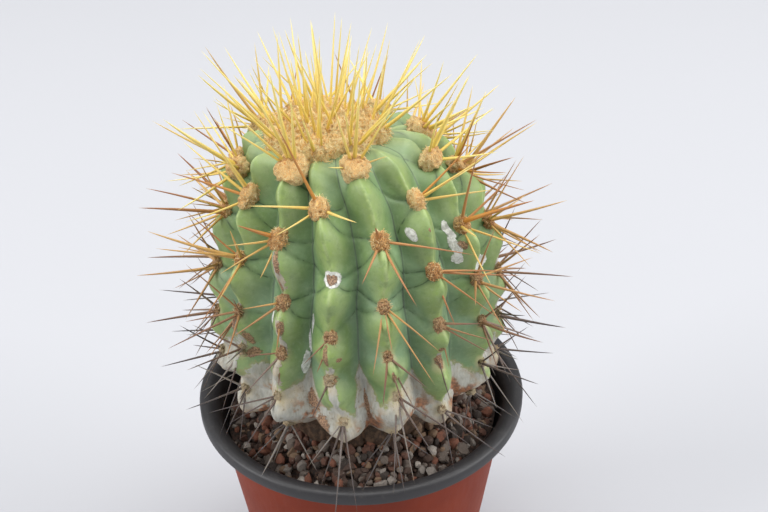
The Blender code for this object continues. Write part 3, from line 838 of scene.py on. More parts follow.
def make_spines(name, spines, material, node):
    """Curved, tapered spines with a bulb at the root, stamped from one model."""
    unit, faces = model_arrays(rod_model(sides=6, cuts=8, ends="TRIFAN"))
    t = unit[:, 2]
    bulb = 1 + SPINE_BULB * np.exp(-(t / SPINE_BULB_SHARE) ** 2)
    taper = np.maximum((1 - t) ** SPINE_TAPER_POWER * bulb, SPINE_TIP_SHARE)
    direction, root, length, width, bend, age, tone = (
        np.array([spine[key] for spine in spines])
        for key in ("direction", "root", "length", "width", "bend", "age", "tone"))
    bend = bend * length
    root = root - direction * SPINE_BURIED
    length = length + SPINE_BURIED
    first, second = side_frames(direction)
    lift = np.array([0.0, 0.0, 1.0]) - direction * direction[:, 2:3]
    lift /= np.maximum(np.linalg.norm(lift, axis=1, keepdims=True), 0.2)
    axis = root[:, None] + direction[:, None] * (length[:, None] * t)[..., None]
    axis = axis + lift[:, None] * (bend[:, None] * (t ** 2 - t))[..., None]
    ring = first[:, None] * unit[None, :, 0:1] + second[:, None] * unit[None, :, 1:2]
    placed = axis + ring * (width[:, None] * taper)[..., None]
    obj = stamped(name, placed, faces)
    set_attribute(obj, "along", np.tile(t, len(spines)))
    set_attribute(obj, "age", np.repeat(age, len(t)))
    set_attribute(obj, "tone", np.repeat(tone, len(t)))
    return finish_piece(obj, name, material, node)


# Half widths and half heights of the felt pads by areole number, in millimetres.
PAD_NUMBERS = (0, 0.5, 1, 2, 3, 4, 5)
PAD_HALF_WIDTHS = (4.6, 3.1, 2.6, 1.9, 1.5, 1.4, 1.4)
PAD_HALF_HEIGHTS = (5.0, 4.0, 3.3, 2.5, 2.0, 1.7, 1.6)
PAD_THICKNESSES = (2.8, 2.3, 1.9, 1.4, 1.0, 0.8, 0.8)
PAD_SQUARENESS = 2.6
PAD_CURL = 0.55 * MM
PAD_CURL_SIZES = (1.2 * MM, 3.0 * MM)
# Areoles without a pad.
BARE_AREOLES = ((1, 1.5), (3, 3.5))
# A lost areole leaves a ring scar, which is wider than it is high.
RINGED_AREOLE = (1, 1.5)
RINGED_STRETCH = (0.88, 0.88, 1.4)
# Pads that are narrower or lower than the rule has them: shares of their width and height.
PAD_SHARES = {(4, 0.0): (1.0, 0.62), (5, 0.5): (0.68, 1.0), (3, 0.5): (0.68, 1.0),
              (15, 0.5): (0.68, 1.0), (14, 0.0): (0.72, 0.7)}


def spine_distance(points, spines):
    """Distance in millimetres from each point to the axis of the nearest spine."""
    near = np.full(len(points), FAR)
    for spine in spines:
        direction = np.array(spine["direction"])
        away = points - np.array(spine["root"])
        away -= (away @ direction)[:, None] * direction
        near = np.minimum(near, np.linalg.norm(away, axis=1) / MM)
    return near


def felt_pads():
    """Centre, three half-axes and age of every felt pad on the stem."""
    draw = random.Random(5)
    pads = []
    for place in areole_places():
        size = draw.uniform(0.9, 1.1) * MM
        key = (place["rib"], place["number"])
        if key in BARE_AREOLES:
            continue
        wide, tall, thick = (size * float(np.interp(place["number"], PAD_NUMBERS, sizes))
                             for sizes in (PAD_HALF_WIDTHS, PAD_HALF_HEIGHTS, PAD_THICKNESSES))
        wide_share, tall_share = PAD_SHARES.get(key, (1.0, 1.0))
        pads.append((place["centre"], place["side"] * wide * wide_share,
                     place["uphill"] * tall * tall_share, place["face"] * thick, place["age"]))
    return pads


def make_felt(pads, spines, material):
    """The woolly pads: one lumpy cushion model, stamped and roughened pad by pad."""
    unit, faces = model_arrays(rounded_model(subdivisions=4))
    reach = np.linalg.norm(unit[:, :2], ord=PAD_SQUARENESS, axis=1, keepdims=True)
    squared = unit / reach.clip(0.8, None)
    placed, ages, near = [], [], []
    for centre, side, uphill, face, age in pads:
        axes = np.array([side, uphill, face])
        points = squared @ axes + np.array(centre)
        normal = squared @ unit_rows(axes)
        small, large = PAD_CURL_SIZES
        curls = 0.5 - np.abs(ripple(points, small, 12)) + 0.3 * ripple(points, large, 13)
        placed.append(points + normal * curls[:, None] * PAD_CURL * (1 - 0.3 * age))
        ages.append(np.full(len(points), age))
        own = [spine for spine in spines if (spine["root"] - centre).length < PAD_RADII[0]]
        near.append(spine_distance(placed[-1], own))
    obj = stamped("areole_felt", np.array(placed), faces)
    set_attribute(obj, "spine", np.concatenate(near))
    set_attribute(obj, "middle", np.tile(unit[:, 2], len(pads)))
    set_attribute(obj, "age", np.concatenate(ages))
    return finish_piece(obj, "areole_felt", material, "cactus_body")


# A hair's form: its half width, how far it leans from upright, and, as shares of its length,
# how far it curls to one side and sags.
HAIR_HALF_WIDTH = 0.14 * MM
HAIR_TAPER = 0.7
HAIR_LEAN = 0.75
HAIR_CURLS = (0.3, 0.9)
HAIR_SAG = 0.3
PAD_HAIR_AGES = (0, 0.2, 0.5, 0.8, 1)
PAD_HAIR_COUNTS = (250, 190, 80, 24, 8)
PAD_HAIR_LENGTHS = (0.9 * MM, 2.0 * MM)
PAD_HAIR_ROOT_SHARE = 0.92
CROWN_HAIR_COUNT = 5000
CROWN_HAIR_LENGTHS = (1.2 * MM, 2.8 * MM)
CROWN_HAIRS_ABOVE = WOOL_BASE - 1.5 * MM
CROWN_HAIR_SCATTER = 0.25 * MM


def make_fibres(name, roots, normals, lengths, ages, seed, material, node):
    """Curly hairs that stand and lie every way on a woolly surface."""
    unit, faces = model_arrays(rod_model(sides=3, cuts=2, ends="NGON"))
    draw = np.random.default_rng(seed)
    count = len(roots)
    direction = unit_rows(normals + draw.normal(size=(count, 3)) * HAIR_LEAN)
    first, second = side_frames(direction)
    t = unit[:, 2]
    curl = draw.uniform(*HAIR_CURLS, count) * lengths
    swirl = draw.uniform(0, 2 * math.pi, count)
    way = first * np.cos(swirl)[:, None] + second * np.sin(swirl)[:, None]
    axis = roots[:, None] + direction[:, None] * (lengths[:, None] * t)[..., None]
    axis = axis + way[:, None] * (curl[:, None] * t ** 2)[..., None]
    axis = axis - normals[:, None] * (HAIR_SAG * lengths[:, None] * t ** 2)[..., None]
    taper = HAIR_HALF_WIDTH * (1 - HAIR_TAPER * t)
    ring = first[:, None] * unit[None, :, 0:1] + second[:, None] * unit[None, :, 1:2]
    placed = axis + ring * taper[None, :, None]
    obj = stamped(name, placed, faces)
    set_attribute(obj, "age", np.repeat(ages, len(t)))
    set_attribute(obj, "tone", np.repeat(draw.random(count), len(t)))
    return finish_piece(obj, name, material, node)


def pad_fibres(pads, material):
    """Loose hairs on the stem's pads, many on a young one and few on an old one."""
    draw = np.random.default_rng(31)
    roots, normals, lengths, ages = [], [], [], []
    for centre, side, uphill, face, age in pads:
        count = int(np.interp(age, PAD_HAIR_AGES, PAD_HAIR_COUNTS))
        axes = np.array([side, uphill, face])
        ball = draw.normal(size=(count, 3))
        ball[:, 2] = np.abs(ball[:, 2]) * 0.8
        ball = unit_rows(ball)
        roots.append(np.array(centre) + ball @ axes * PAD_HAIR_ROOT_SHARE)
        normals.append(unit_rows(ball @ unit_rows(axes)))
        lengths.append(draw.uniform(*PAD_HAIR_LENGTHS, count) * (1 - 0.3 * age))
        ages.append(np.full(count, age))
    return make_fibres("areole_wool", np.concatenate(roots), np.concatenate(normals),
                       np.concatenate(lengths), np.concatenate(ages), 32, material, "cactus_body")


def wool_edge(way, tufts):
    """How far the wool reaches each way from the middle tuft: its own edge or a tuft's."""
    circle = np.column_stack([way, np.zeros(len(way))]) * WOOL_RADIUS
    edge = WOOL_RADIUS + WOOL_EDGE_WAVER * ripple(circle, 6 * MM, 16)
    middle = tufts[0][0]
    for centre, size in tufts:
        offset = np.array((centre - middle).xy)
        along = way @ offset
        beside = size ** 2 - (offset @ offset - along ** 2)
        reach = along + np.sqrt(np.clip(beside, 0, None))
        edge = np.where((beside > 0) & (along > 0), np.maximum(edge, reach), edge)
    return edge


def make_crown(tufts, spines, material):
    """The crown's wool: a domed disc, raised in tufts, that laps over the ribs' tips."""
    bpy.ops.object.select_all(action="DESELECT")
    bpy.ops.mesh.primitive_uv_sphere_add(segments=WOOL_COLUMNS, ring_count=WOOL_ROWS, radius=1)
    crown = bpy.context.object
    globe = points_of(crown)
    roll = 1 - WOOL_ROLL_FROM
    side_reach = math.sqrt(1 - WOOL_ROLL_FROM ** 2)
    down_side = np.clip((side_reach - globe[:, 2]) / (2 * side_reach), 0, 1) * math.pi / 2
    spread = np.minimum(np.hypot(globe[:, 0], globe[:, 1]) / WOOL_ROLL_FROM, 1)
    spread = spread * (WOOL_ROLL_FROM + roll * np.sin(down_side))
    fallen = 1 - np.cos(down_side)
    turn = np.arctan2(globe[:, 1], globe[:, 0])
    way = np.stack([np.cos(turn), np.sin(turn)], -1)
    radius = spread * wool_edge(way, tufts)
    rise = wool_level(radius)
    place = np.array(tufts[0][0]) + np.column_stack([way * radius[:, None], 0 * turn])
    for centre, size in tufts:
        apart = np.hypot(place[:, 0] - centre.x, place[:, 1] - centre.y)
        ball = np.sqrt(np.clip(size ** 2 - apart ** 2, 0, None)) * TUFT_FLATNESS
        ball = ball + centre.z - WOOL_BASE
        rise = np.where(apart < size, np.maximum(rise, ball), rise)
    points = np.column_stack([place[:, :2], WOOL_BASE + rise * (1 - fallen) - WOOL_SKIRT * fallen])
    small, large = CROWN_CURL_SIZES
    curls = 0.4 - np.abs(ripple(points, small, 14)) + 0.35 * ripple(points, large, 15)
    outward = np.column_stack([way * fallen[:, None], 1 - fallen])
    points += outward * (curls * CROWN_CURL * (fallen < 1))[:, None]
    set_points(crown, points)
    select_only(crown)
    bpy.ops.object.shade_smooth()
    set_attribute(crown, "age", np.full(len(points), CROWN_WOOL_AGE))
    set_attribute(crown, "spine", spine_distance(points, spines))
    return finish_piece(crown, "crown_wool", material, "woolly_crown")


def crown_fibres(crown, material):
    """Hairs all over the top of the crown's wool."""
    draw = np.random.default_rng(41)
    mesh = crown.data
    centres = np.array([f.center[:] for f in mesh.polygons])
    normals = np.array([f.normal[:] for f in mesh.polygons])
    areas = np.array([f.area for f in mesh.polygons])
    areas = areas * (centres[:, 2] > CROWN_HAIRS_ABOVE)
    pick = draw.choice(len(centres), CROWN_HAIR_COUNT, p=areas / areas.sum())
    roots = centres[pick] + draw.normal(size=(len(pick), 3)) * CROWN_HAIR_SCATTER
    lengths = draw.uniform(*CROWN_HAIR_LENGTHS, len(pick))
    ages = np.full(len(pick), CROWN_WOOL_AGE)
    return make_fibres("crown_fibres", roots, normals[pick], lengths, ages, 42,
                       material, "woolly_crown")


# Pot and grit

LIP_INNER_RADIUS = 56.2 * MM
LIP_DROP = 4.4 * MM
WALL_TOP_RADIUS = 53.8 * MM
BASE_RADIUS = 41 * MM
SHEET = 1.2 * MM
FLOOR_THICKNESS = 1.5 * MM
SOIL_DEPTH_BELOW_RIM = 11 * MM
SOIL_TILT = 0.06
DRAIN_RADIUS = 3.5 * MM
DRAIN_RING_RADIUS = 26 * MM
DRAIN_COUNT = 8
POT_STEPS = 144
# The outside is terracotta from the underside up to where the wall meets the lip.
TERRACOTTA_BELOW = RIM_LEVEL - 4.5 * MM
UNDERSIDE_BELOW = 0.2 * MM

# Grit: the bed lies deeper than the loose stones, and both are banked up to the neck.
BED_SIDES = 96
BED_CUTS = 7
BED_DEPTH = 1.2 * MM
BED_BUMP = 0.7 * MM
BANK_HEIGHT = 8.5 * MM
BANK_RADII = (49 * MM, 35 * MM)
GRIT_STONES = 1700
# Stones' half sizes: shape and scale of how they are spread, and the least and the greatest.
STONE_SPREAD = (5.0, 0.32 * MM)
STONE_SIZES = (0.7 * MM, 2.9 * MM)
STONE_LEVELS = (-1.4 * MM, 0.5 * MM)
PEBBLES = 14
PEBBLE_SIZES = (3.0 * MM, 4.4 * MM)
STONE_STRETCH = (0.6, 1.25)
STONE_FACETS = 7
FACET_DEPTHS = (0.45, 0.8)


def soil_level(x):
    return RIM_LEVEL - SOIL_DEPTH_BELOW_RIM + SOIL_TILT * x


def banked(radius):
    """How much higher the grit lies near the neck."""
    return BANK_HEIGHT * smooth_step(*BANK_RADII, radius)


def wall_inner_radius(height):
    return BASE_RADIUS + (WALL_TOP_RADIUS - BASE_RADIUS) * height / RIM_LEVEL - SHEET


def pot_profile():
    """Radius and height round the sheet's section, from the axis under the floor."""
    top = RIM_LEVEL
    return [
        (0, 0), (BASE_RADIUS - 1.5 * MM, 0), (BASE_RADIUS - 0.4 * MM, 0.5 * MM),
        (BASE_RADIUS, 1.5 * MM), (WALL_TOP_RADIUS - 0.4 * MM, top - 9 * MM),
        (WALL_TOP_RADIUS, top - 6 * MM), (WALL_TOP_RADIUS + 0.5 * MM, top - 4 * MM),
        (WALL_TOP_RADIUS + 1.4 * MM, top - 2.6 * MM), (LIP_INNER_RADIUS + 0.9 * MM, top - SHEET),
        (LIP_RADIUS - SHEET, top - SHEET - 0.5 * MM), (LIP_RADIUS - SHEET, top - LIP_DROP),
        (LIP_RADIUS - 0.9 * SHEET, top - LIP_DROP - 0.1 * MM),
        (LIP_RADIUS - 0.1 * SHEET, top - LIP_DROP), (LIP_RADIUS, top - LIP_DROP + 0.5 * MM),
        (LIP_RADIUS, top - 1.3 * MM), (LIP_RADIUS - 0.35 * MM, top - 0.5 * MM),
        (LIP_RADIUS - 1.0 * MM, top - 0.1 * MM), (LIP_RADIUS - 2.0 * MM, top),
        (LIP_INNER_RADIUS + 0.6 * MM, top - 0.1 * MM), (LIP_INNER_RADIUS - 0.6 * MM, top - 0.6 * MM),
        (WALL_TOP_RADIUS + 0.2 * MM, top - 2.2 * MM), (WALL_TOP_RADIUS - 0.7 * MM, top - 3.8 * MM),
        (WALL_TOP_RADIUS - SHEET, top - 6 * MM), (BASE_RADIUS - SHEET, FLOOR_THICKNESS),
        (0, FLOOR_THICKNESS),
    ]


def make_pot(outside, inside):
    """The thin pot with its turned lip: the sheet's section spun round the axis."""
    profile = pot_profile()
    bpy.ops.object.select_all(action="DESELECT")
    bpy.ops.mesh.primitive_plane_add(size=1)
    pot = bpy.context.object
    bpy.ops.object.mode_set(mode="EDIT")
    bpy.ops.mesh.select_mode(type="VERT")
    bpy.ops.mesh.merge(type="CENTER")
    for (r, z), (next_r, next_z) in zip(profile, profile[1:]):
        move = {"value": (next_r - r, 0, next_z - z)}
        bpy.ops.mesh.extrude_region_move(TRANSFORM_OT_translate=move)
    bpy.ops.mesh.select_all(action="SELECT")
    bpy.ops.mesh.spin(steps=POT_STEPS, angle=2 * math.pi, center=(0, 0, 0), axis=(0, 0, 1))
    bpy.ops.mesh.select_all(action="SELECT")
    bpy.ops.mesh.remove_doubles(threshold=0.01 * MM)
    bpy.ops.mesh.normals_make_consistent(inside=False)
    bpy.ops.object.mode_set(mode="OBJECT")
    drill_drains(pot)
    pot.data.materials.clear()
    finish_piece(pot, "pot_shell", outside, "pot")
    pot.data.materials.append(inside)
    for face in pot.data.polygons:
        centre = face.center
        faces_out = face.normal.x * centre.x + face.normal.y * centre.y > 0
        on_wall = faces_out and centre.z < TERRACOTTA_BELOW
        face.material_index = 0 if on_wall or centre.z < UNDERSIDE_BELOW else 1
    select_only(pot)
    bpy.ops.object.shade_smooth_by_angle(angle=math.radians(40))
    return pot


def drill_drains(pot):
    """Drain holes in a ring through the pot's floor."""
    for i in range(DRAIN_COUNT):
        angle = 2 * math.pi * (i + 0.5) / DRAIN_COUNT
        bpy.ops.object.select_all(action="DESELECT")
        bpy.ops.mesh.primitive_cylinder_add(
            vertices=24, radius=DRAIN_RADIUS, depth=4 * FLOOR_THICKNESS,
            location=(DRAIN_RING_RADIUS * math.cos(angle), DRAIN_RING_RADIUS * math.sin(angle), 0))
        drill = bpy.context.object
        select_only(pot)
        cut = pot.modifiers.new("Drain", "BOOLEAN")
        cut.operation = "DIFFERENCE"
        cut.object = drill
        bpy.ops.object.modifier_apply(modifier=cut.name)
        bpy.data.objects.remove(drill)


def make_soil_bed(material):
    """The bed under the loose grit, from the pot's floor to the grit's middle level."""
    bpy.ops.object.select_all(action="DESELECT")
    bottom = FLOOR_THICKNESS + 0.3 * MM
    bpy.ops.mesh.primitive_cylinder_add(vertices=BED_SIDES, radius=1, depth=1, end_fill_type="TRIFAN")
    bed = bpy.context.object
    bpy.ops.object.mode_set(mode="EDIT")
    bpy.ops.mesh.select_all(action="SELECT")
    bpy.ops.mesh.subdivide(number_cuts=BED_CUTS)
    bpy.ops.object.mode_set(mode="OBJECT")
    points = points_of(bed)
    top = points[:, 2] > 0.499
    low_radius = wall_inner_radius(bottom) - 0.6 * MM
    high_radius = wall_inner_radius(RIM_LEVEL - SOIL_DEPTH_BELOW_RIM) - 0.9 * MM
    share = points[:, 2] + 0.5
    radius = low_radius + (high_radius - low_radius) * share
    xy = points[:, :2] * radius[:, None]
    level = bottom + share * (soil_level(xy[:, 0]) - BED_DEPTH - bottom)
    placed = np.column_stack([xy, level])
    bank = banked(np.hypot(xy[:, 0], xy[:, 1]))
    placed[:, 2] += top * (BED_BUMP * ripple(placed, 3 * MM, 51) + bank)
    set_points(bed, placed)
    select_only(bed)
    bpy.ops.object.shade_smooth()
    return finish_piece(bed, "soil_bed", material, "soil")


def make_grit(material):
    """Loose stones: one rounded model, squashed, turned and cut flat in planes, stone by stone."""
    unit, faces = model_arrays(rounded_model(subdivisions=2))
    draw = np.random.default_rng(61)
    size = draw.gamma(*STONE_SPREAD, GRIT_STONES).clip(*STONE_SIZES)
    size[:PEBBLES] = draw.uniform(*PEBBLE_SIZES, PEBBLES)
    limit = wall_inner_radius(RIM_LEVEL - SOIL_DEPTH_BELOW_RIM) - 1.1 * size - 0.3 * MM
    radius = np.sqrt(draw.uniform((NECK_RADIUS + 0.5 * MM) ** 2, limit ** 2))
    turn = draw.uniform(0, 2 * math.pi, GRIT_STONES)
    x, y = radius * np.cos(turn), radius * np.sin(turn)
    z = soil_level(x) + banked(radius) + draw.uniform(*STONE_LEVELS, GRIT_STONES)
    placed = np.empty((GRIT_STONES, len(unit), 3))
    for stone in range(GRIT_STONES):
        points = unit * draw.uniform(*STONE_STRETCH, 3)
        for _ in range(STONE_FACETS):
            plane = draw.normal(size=3)
            plane /= np.linalg.norm(plane)
            over = np.maximum(points @ plane - draw.uniform(*FACET_DEPTHS), 0)
            points = points - over[:, None] * plane
        spin = np.array(Matrix.Rotation(draw.uniform(0, 6.3), 3, Vector(draw.normal(size=3))))
        placed[stone] = points @ spin.T * size[stone] + (x[stone], y[stone], z[stone])
    grit = stamped("grit_stones", placed, faces)
    set_attribute(grit, "tone", np.repeat(draw.random(GRIT_STONES), len(unit)))
    finish_piece(grit, "grit_stones", material, "soil")
    select_only(grit)
    bpy.ops.object.shade_smooth_by_angle(angle=math.radians(28))
    return grit


# Materials

class Field:
    """A socket of a material, on which the arithmetic signs add Math nodes."""

    def __init__(self, paint, socket):
        self.paint = paint
        self.socket = socket

    def __add__(self, other):
        return self.paint.math("ADD", self, other)

    def __sub__(self, other):
        return self.paint.math("SUBTRACT", self, other)

    def __rsub__(self, other):
        return self.paint.math("SUBTRACT", other, self)

    def __mul__(self, other):
        return self.paint.math("MULTIPLY", self, other)

    __radd__ = __add__
    __rmul__ = __mul__

    def most(self, other):
        return self.paint.math("MAXIMUM", self, other)

    def least(self, other):
        return self.paint.math("MINIMUM", self, other)


class Paint:
    """A new material and the few kinds of node that this object's finishes use."""

    def __init__(self, name, roughness=0.5):
        self.material = bpy.data.materials.new(name)
        self.material.use_nodes = True
        self.tree = self.material.node_tree
        self.shader = self.tree.nodes["Principled BSDF"]
        self.shader.inputs["Roughness"].default_value = roughness
        metres = self.node("ShaderNodeTexCoord", output="Object")
        self.place = self.node("ShaderNodeVectorMath", {"operation": "SCALE"},
                               {0: metres, "Scale": 1 / MM})

    def node(self, kind, settings=None, inputs=None, output=0):
        node = self.tree.nodes.new(kind)
        for key, value in (settings or {}).items():
            if key == "stops":
                self.set_stops(node.color_ramp, value)
            else:
                setattr(node, key, value)
        for key, value in (inputs or {}).items():
            self.feed(node.inputs[key], value)
        return Field(self, node.outputs[output])

    def set_stops(self, ramp, stops):
        while len(ramp.elements) < len(stops):
            ramp.elements.new(1.0)
        for element, (position, colour) in zip(ramp.elements, stops):
            element.position = position
            element.color = rgb(colour)

    def feed(self, socket, value):
        if isinstance(value, Field):
            self.tree.links.new(value.socket, socket)
        else:
            socket.default_value = value

    def math(self, operation, a, b=0.0):
        return self.node("ShaderNodeMath", {"operation": operation}, {0: a, 1: b})

    def attribute(self, name):
        return self.node("ShaderNodeAttribute", {"attribute_name": name}, output="Fac")

    def noise(self, size, detail=3.0, roughness=0.55, stretch=None):
        """Noise with bumps of about a size in millimetres, from 0 to 1.

        A stretch below 1 draws them out that way.
        """
        place = self.place
        if stretch:
            place = self.node("ShaderNodeMapping", inputs={"Vector": place, "Scale": stretch})
        return self.node("ShaderNodeTexNoise", inputs={
            "Vector": place, "Scale": 1 / size, "Detail": detail, "Roughness": roughness})

    def curls(self, size):
        """Worm-like ridges of about a size in millimetres: 0 in the creases between them."""
        swirl = self.node("ShaderNodeTexNoise", inputs={
            "Vector": self.place, "Scale": 1 / size, "Detail": 1.0, "Distortion": 1.6})
        return self.math("ABSOLUTE", swirl - 0.5) * 4

    def cells(self, size):
        """Distance to the nearest of scattered spots, as a share of a size in millimetres."""
        return self.node("ShaderNodeTexVoronoi", inputs={"Vector": self.place, "Scale": 1 / size})

    def height(self):
        """Height above the pot's rim in millimetres."""
        z = self.node("ShaderNodeSeparateXYZ", inputs={0: self.place}, output="Z")
        return z - RIM_LEVEL / MM

    def step(self, low, high, value):
        """0 below low and 1 above high, or the other way round where low is greater."""
        bounds = (high, low, 1.0, 0.0) if low > high else (low, high, 0.0, 1.0)
        inputs = dict(zip(("From Min", "From Max", "To Min", "To Max"), bounds))
        inputs["Value"] = value
        return self.node("ShaderNodeMapRange", {"interpolation_type": "SMOOTHSTEP"}, inputs)

    def mix(self, share, a, b):
        """Two colours mixed: none of the second where the share is 0, and only it where it is 1."""
        a, b = (colour if isinstance(colour, Field) else rgb(colour) for colour in (a, b))
        return self.node("ShaderNodeMix", {"data_type": "RGBA"}, {0: share, 6: a, 7: b}, 2)

    def ramp(self, value, stops, interpolation="LINEAR"):
        """Colours along a value, blended between their stops or, if CONSTANT, kept up to the next."""
        field = self.node("ShaderNodeValToRGB", {"stops": stops}, {0: value})
        field.socket.node.color_ramp.interpolation = interpolation
        return field

    def bump(self, height, distance, strength=1.0):
        inputs = {"Height": height, "Distance": distance, "Strength": strength}
        return self.node("ShaderNodeBump", inputs=inputs)

    def translucent(self, weight, radius, scale):
        """Let light through the surface, as living tissue does."""
        self.set(Subsurface_Weight=weight, Subsurface_Radius=radius, Subsurface_Scale=scale)

    def set(self, **inputs):
        for key, value in inputs.items():
            self.feed(self.shader.inputs[key.replace("_", " ")], value)
        return self.material


def rgb(colour):
    """A screen colour in 0 to 255 as the linear colour that a socket holds."""
    shares = [channel / 255 for channel in colour]
    linear = [share / 12.92 if share <= 0.04045 else ((share + 0.055) / 1.055) ** 2.4
              for share in shares]
    return (*linear, 1.0)


def crease_distance(p, name):
    """Millimetres from one set of creases, which stays exact between the mesh's points."""
    return p.math("ABSOLUTE", p.attribute(name)) + p.step(0.4, 0.0, p.attribute(name + "_near")) * 8


# Colours of the skin as a screen shows them. A pair runs from the darker to the lighter one.
FLANKS = ((99, 125, 70), (111, 138, 85))
BLOOMED_FLANKS = ((107, 134, 95), (121, 146, 112))
DEEP_FLANK = (115, 140, 109)
HIGH_FLANK = (117, 145, 88)
CRESTS = ((134, 153, 86), (150, 165, 112))
BRIGHT_SPINDLE = (136, 164, 68)
# A pale line along the crests: partly the skin's own paler crest edge, partly a painted highlight.
PALE_CREST_AND_HIGHLIGHT = (192, 203, 156)
PALE_FLECK = (156, 170, 134)
DARK_FLECK = (92, 115, 72)
DARK_SPECK = (84, 106, 70)
# Painted shade in the creases: a soft band and a thin dark line.
CREASE_SHADE = (74, 102, 64)
CREASE_SHADOW_LINE = (54, 72, 47)
YOUNG_BLOOM = (160, 176, 142)
# Painted shade at the grooves' bottoms.
GROOVE_SHADE = (68, 84, 68)
CORK_GREYS = ((156, 156, 146), (182, 181, 172))
CORK_STRAW = (190, 174, 144)
CORK_STAIN = (146, 130, 106)
CORK_FLECK = (104, 86, 68)
CORK_FOOT = (172, 142, 108)
CORK_BROWNS = ((96, 54, 36), (158, 98, 56))
CORK_RUST = (140, 96, 64)
CORK_HALO = (150, 140, 96)
# Dead bark at the neck, its darkness partly painted shade under the lobes.
DEAD_BARK_AND_SHADE = ((50, 37, 29), (98, 75, 57))
SCAR_TONES = ((184, 184, 176), (226, 226, 221))
DRY_RING = (196, 182, 142)
SCAB_TONES = ((92, 64, 48), (166, 130, 98))


def skin_grain(p):
    """Noises of several sizes, which all of the skin's colours share."""
    return SimpleNamespace(broad=p.noise(14, 2), patchy=p.noise(6, 3), ragged=p.noise(3.2, 4, 0.6),
                           fine=p.noise(1.4, 4, 0.65), speck=p.noise(0.45, 2))


def flank_green(p, grain, across, height):
    """The ribs' sides: plain green in places, and greyer under a bloom in others."""
    bloom = p.step(0.42, 0.58, p.noise(22, 2))
    light = p.step(0.35, 0.7, grain.broad)
    flank = p.mix(bloom, p.mix(light, *FLANKS), p.mix(light, *BLOOMED_FLANKS))
    flank = p.mix(p.step(0.6, 0.95, across + grain.broad * 0.1) * 0.7, flank, DEEP_FLANK)
    return p.mix(p.step(50, 100, height) * 0.5, flank, HIGH_FLANK)


def with_crease_shade(p, grain, across, number, green):
    """A green with painted shade along the creases, a soft band and a thin dark line, which fade out down
    the ribs.
    """
    crease = crease_distance(p, "leaving").least(crease_distance(p, "arriving"))
    fades = p.step(3.0, 1.9, number) * p.step(0.05, 0.16, across)
    # Painted shade: a soft dark band round each crease and a thin dark line in it.
    soft_crease_shade = p.step(1.3, 0.1, crease) * p.step(0.95, 0.5, across)
    green = p.mix(soft_crease_shade * fades * 0.45, green, CREASE_SHADE)
    line = p.step(0.4, 0.1, crease + grain.patchy * 0.3 - 0.1) * p.step(0.42, 0.58, grain.ragged)
    return p.mix(line * fades * 0.7, green, CREASE_SHADOW_LINE)


def skin_green(p, grain, across, height):
    """The live skin: flanks, paler crests and spindles, flecks, creases and grooves, with painted shade
    in the creases and along the grooves' bottoms, and a pale crest line that is partly a painted
    highlight.
    """
    spindle = p.attribute("spindle")
    number = p.attribute("number")
    crest = p.mix(p.step(0.3, 0.75, grain.patchy), *CRESTS)
    on_crest = p.step(-0.3, 0.7, spindle + grain.patchy * 0.5 - 0.25)
    edge = p.step(0.32, 0.0, across + grain.patchy * 0.14)
    green = p.mix((on_crest * 0.65).most(edge * 0.6), flank_green(p, grain, across, height), crest)
    bright = p.step(0.35, 1.0, spindle) * p.step(0.42, 0.62, grain.patchy)
    green = p.mix(bright * 0.65, green, BRIGHT_SPINDLE)
    # A pale line along the crests, partly the skin's own paler edge and partly a painted highlight.
    pale_crest_and_highlight = p.step(0.22, 0.02, across + grain.fine * 0.14) * p.step(0.46, 0.6, grain.patchy)
    green = p.mix(pale_crest_and_highlight * 0.5, green, PALE_CREST_AND_HIGHLIGHT)
    green = p.mix(p.step(0.45, 0.8, grain.fine) * 0.3, green, PALE_FLECK)
    green = p.mix(p.step(0.52, 0.68, p.noise(2.2, 4, 0.65)) * 0.28, green, DARK_FLECK)
    green = p.mix(p.step(0.55, 0.75, grain.speck) * 0.14, green, DARK_SPECK)
    green = with_crease_shade(p, grain, across, number, green)
    young = p.step(0.45, -0.25, number + grain.patchy * 0.3)
    green = p.mix(young * 0.3, green, YOUNG_BLOOM)
    # Painted shade along the grooves' bottoms, between the ribs.
    groove = p.step(0.955, 0.992, across + grain.speck * 0.012)
    return p.mix(groove * 0.6, green, GROOVE_SHADE)


def cork_tones(p, grain, across, height, fibre):
    """Cork: grey at its upper edge, then brown and rusty, and dead bark at the neck, whose darkness is
    partly painted shade under the lobes.
    """
    cork = p.mix(p.step(0.25, 0.75, fibre), *CORK_GREYS)
    cork = p.mix(p.step(0.45, 0.7, grain.patchy) * 0.6, cork, CORK_STRAW)
    stained = p.step(0.46, 0.66, p.noise(2.4, 3, 0.6, stretch=(1, 1, 0.35)))
    cork = p.mix(stained * 0.36, cork, CORK_STAIN)
    cork = p.mix(p.step(0.60, 0.68, grain.fine) * 0.45, cork, CORK_FLECK)
    foot = p.step(27, 13, height + grain.ragged * 9 + across * 4)
    cork = p.mix(foot * 0.75, cork, CORK_FOOT)
    low = p.step(26, 16, height + across * -6)
    brown = p.step(0.50, 0.60, grain.patchy) * low * p.step(0.25, 0.6, across)
    cork = p.mix(brown * 0.85, cork, p.mix(p.step(0.4, 0.6, grain.fine), *CORK_BROWNS))
    rust = p.step(20, 12, height + grain.ragged * 7) * p.step(0.36, 0.56, grain.patchy)
    cork = p.mix(rust * 0.6, cork, CORK_RUST)
    # Dead bark below the lobes, dark partly as painted shade.
    bark_and_shade = p.step(15, 8, height + grain.ragged * 5)
    return p.mix(bark_and_shade * 0.9, cork, p.mix(p.step(0.4, 0.65, grain.fine), *DEAD_BARK_AND_SHADE))


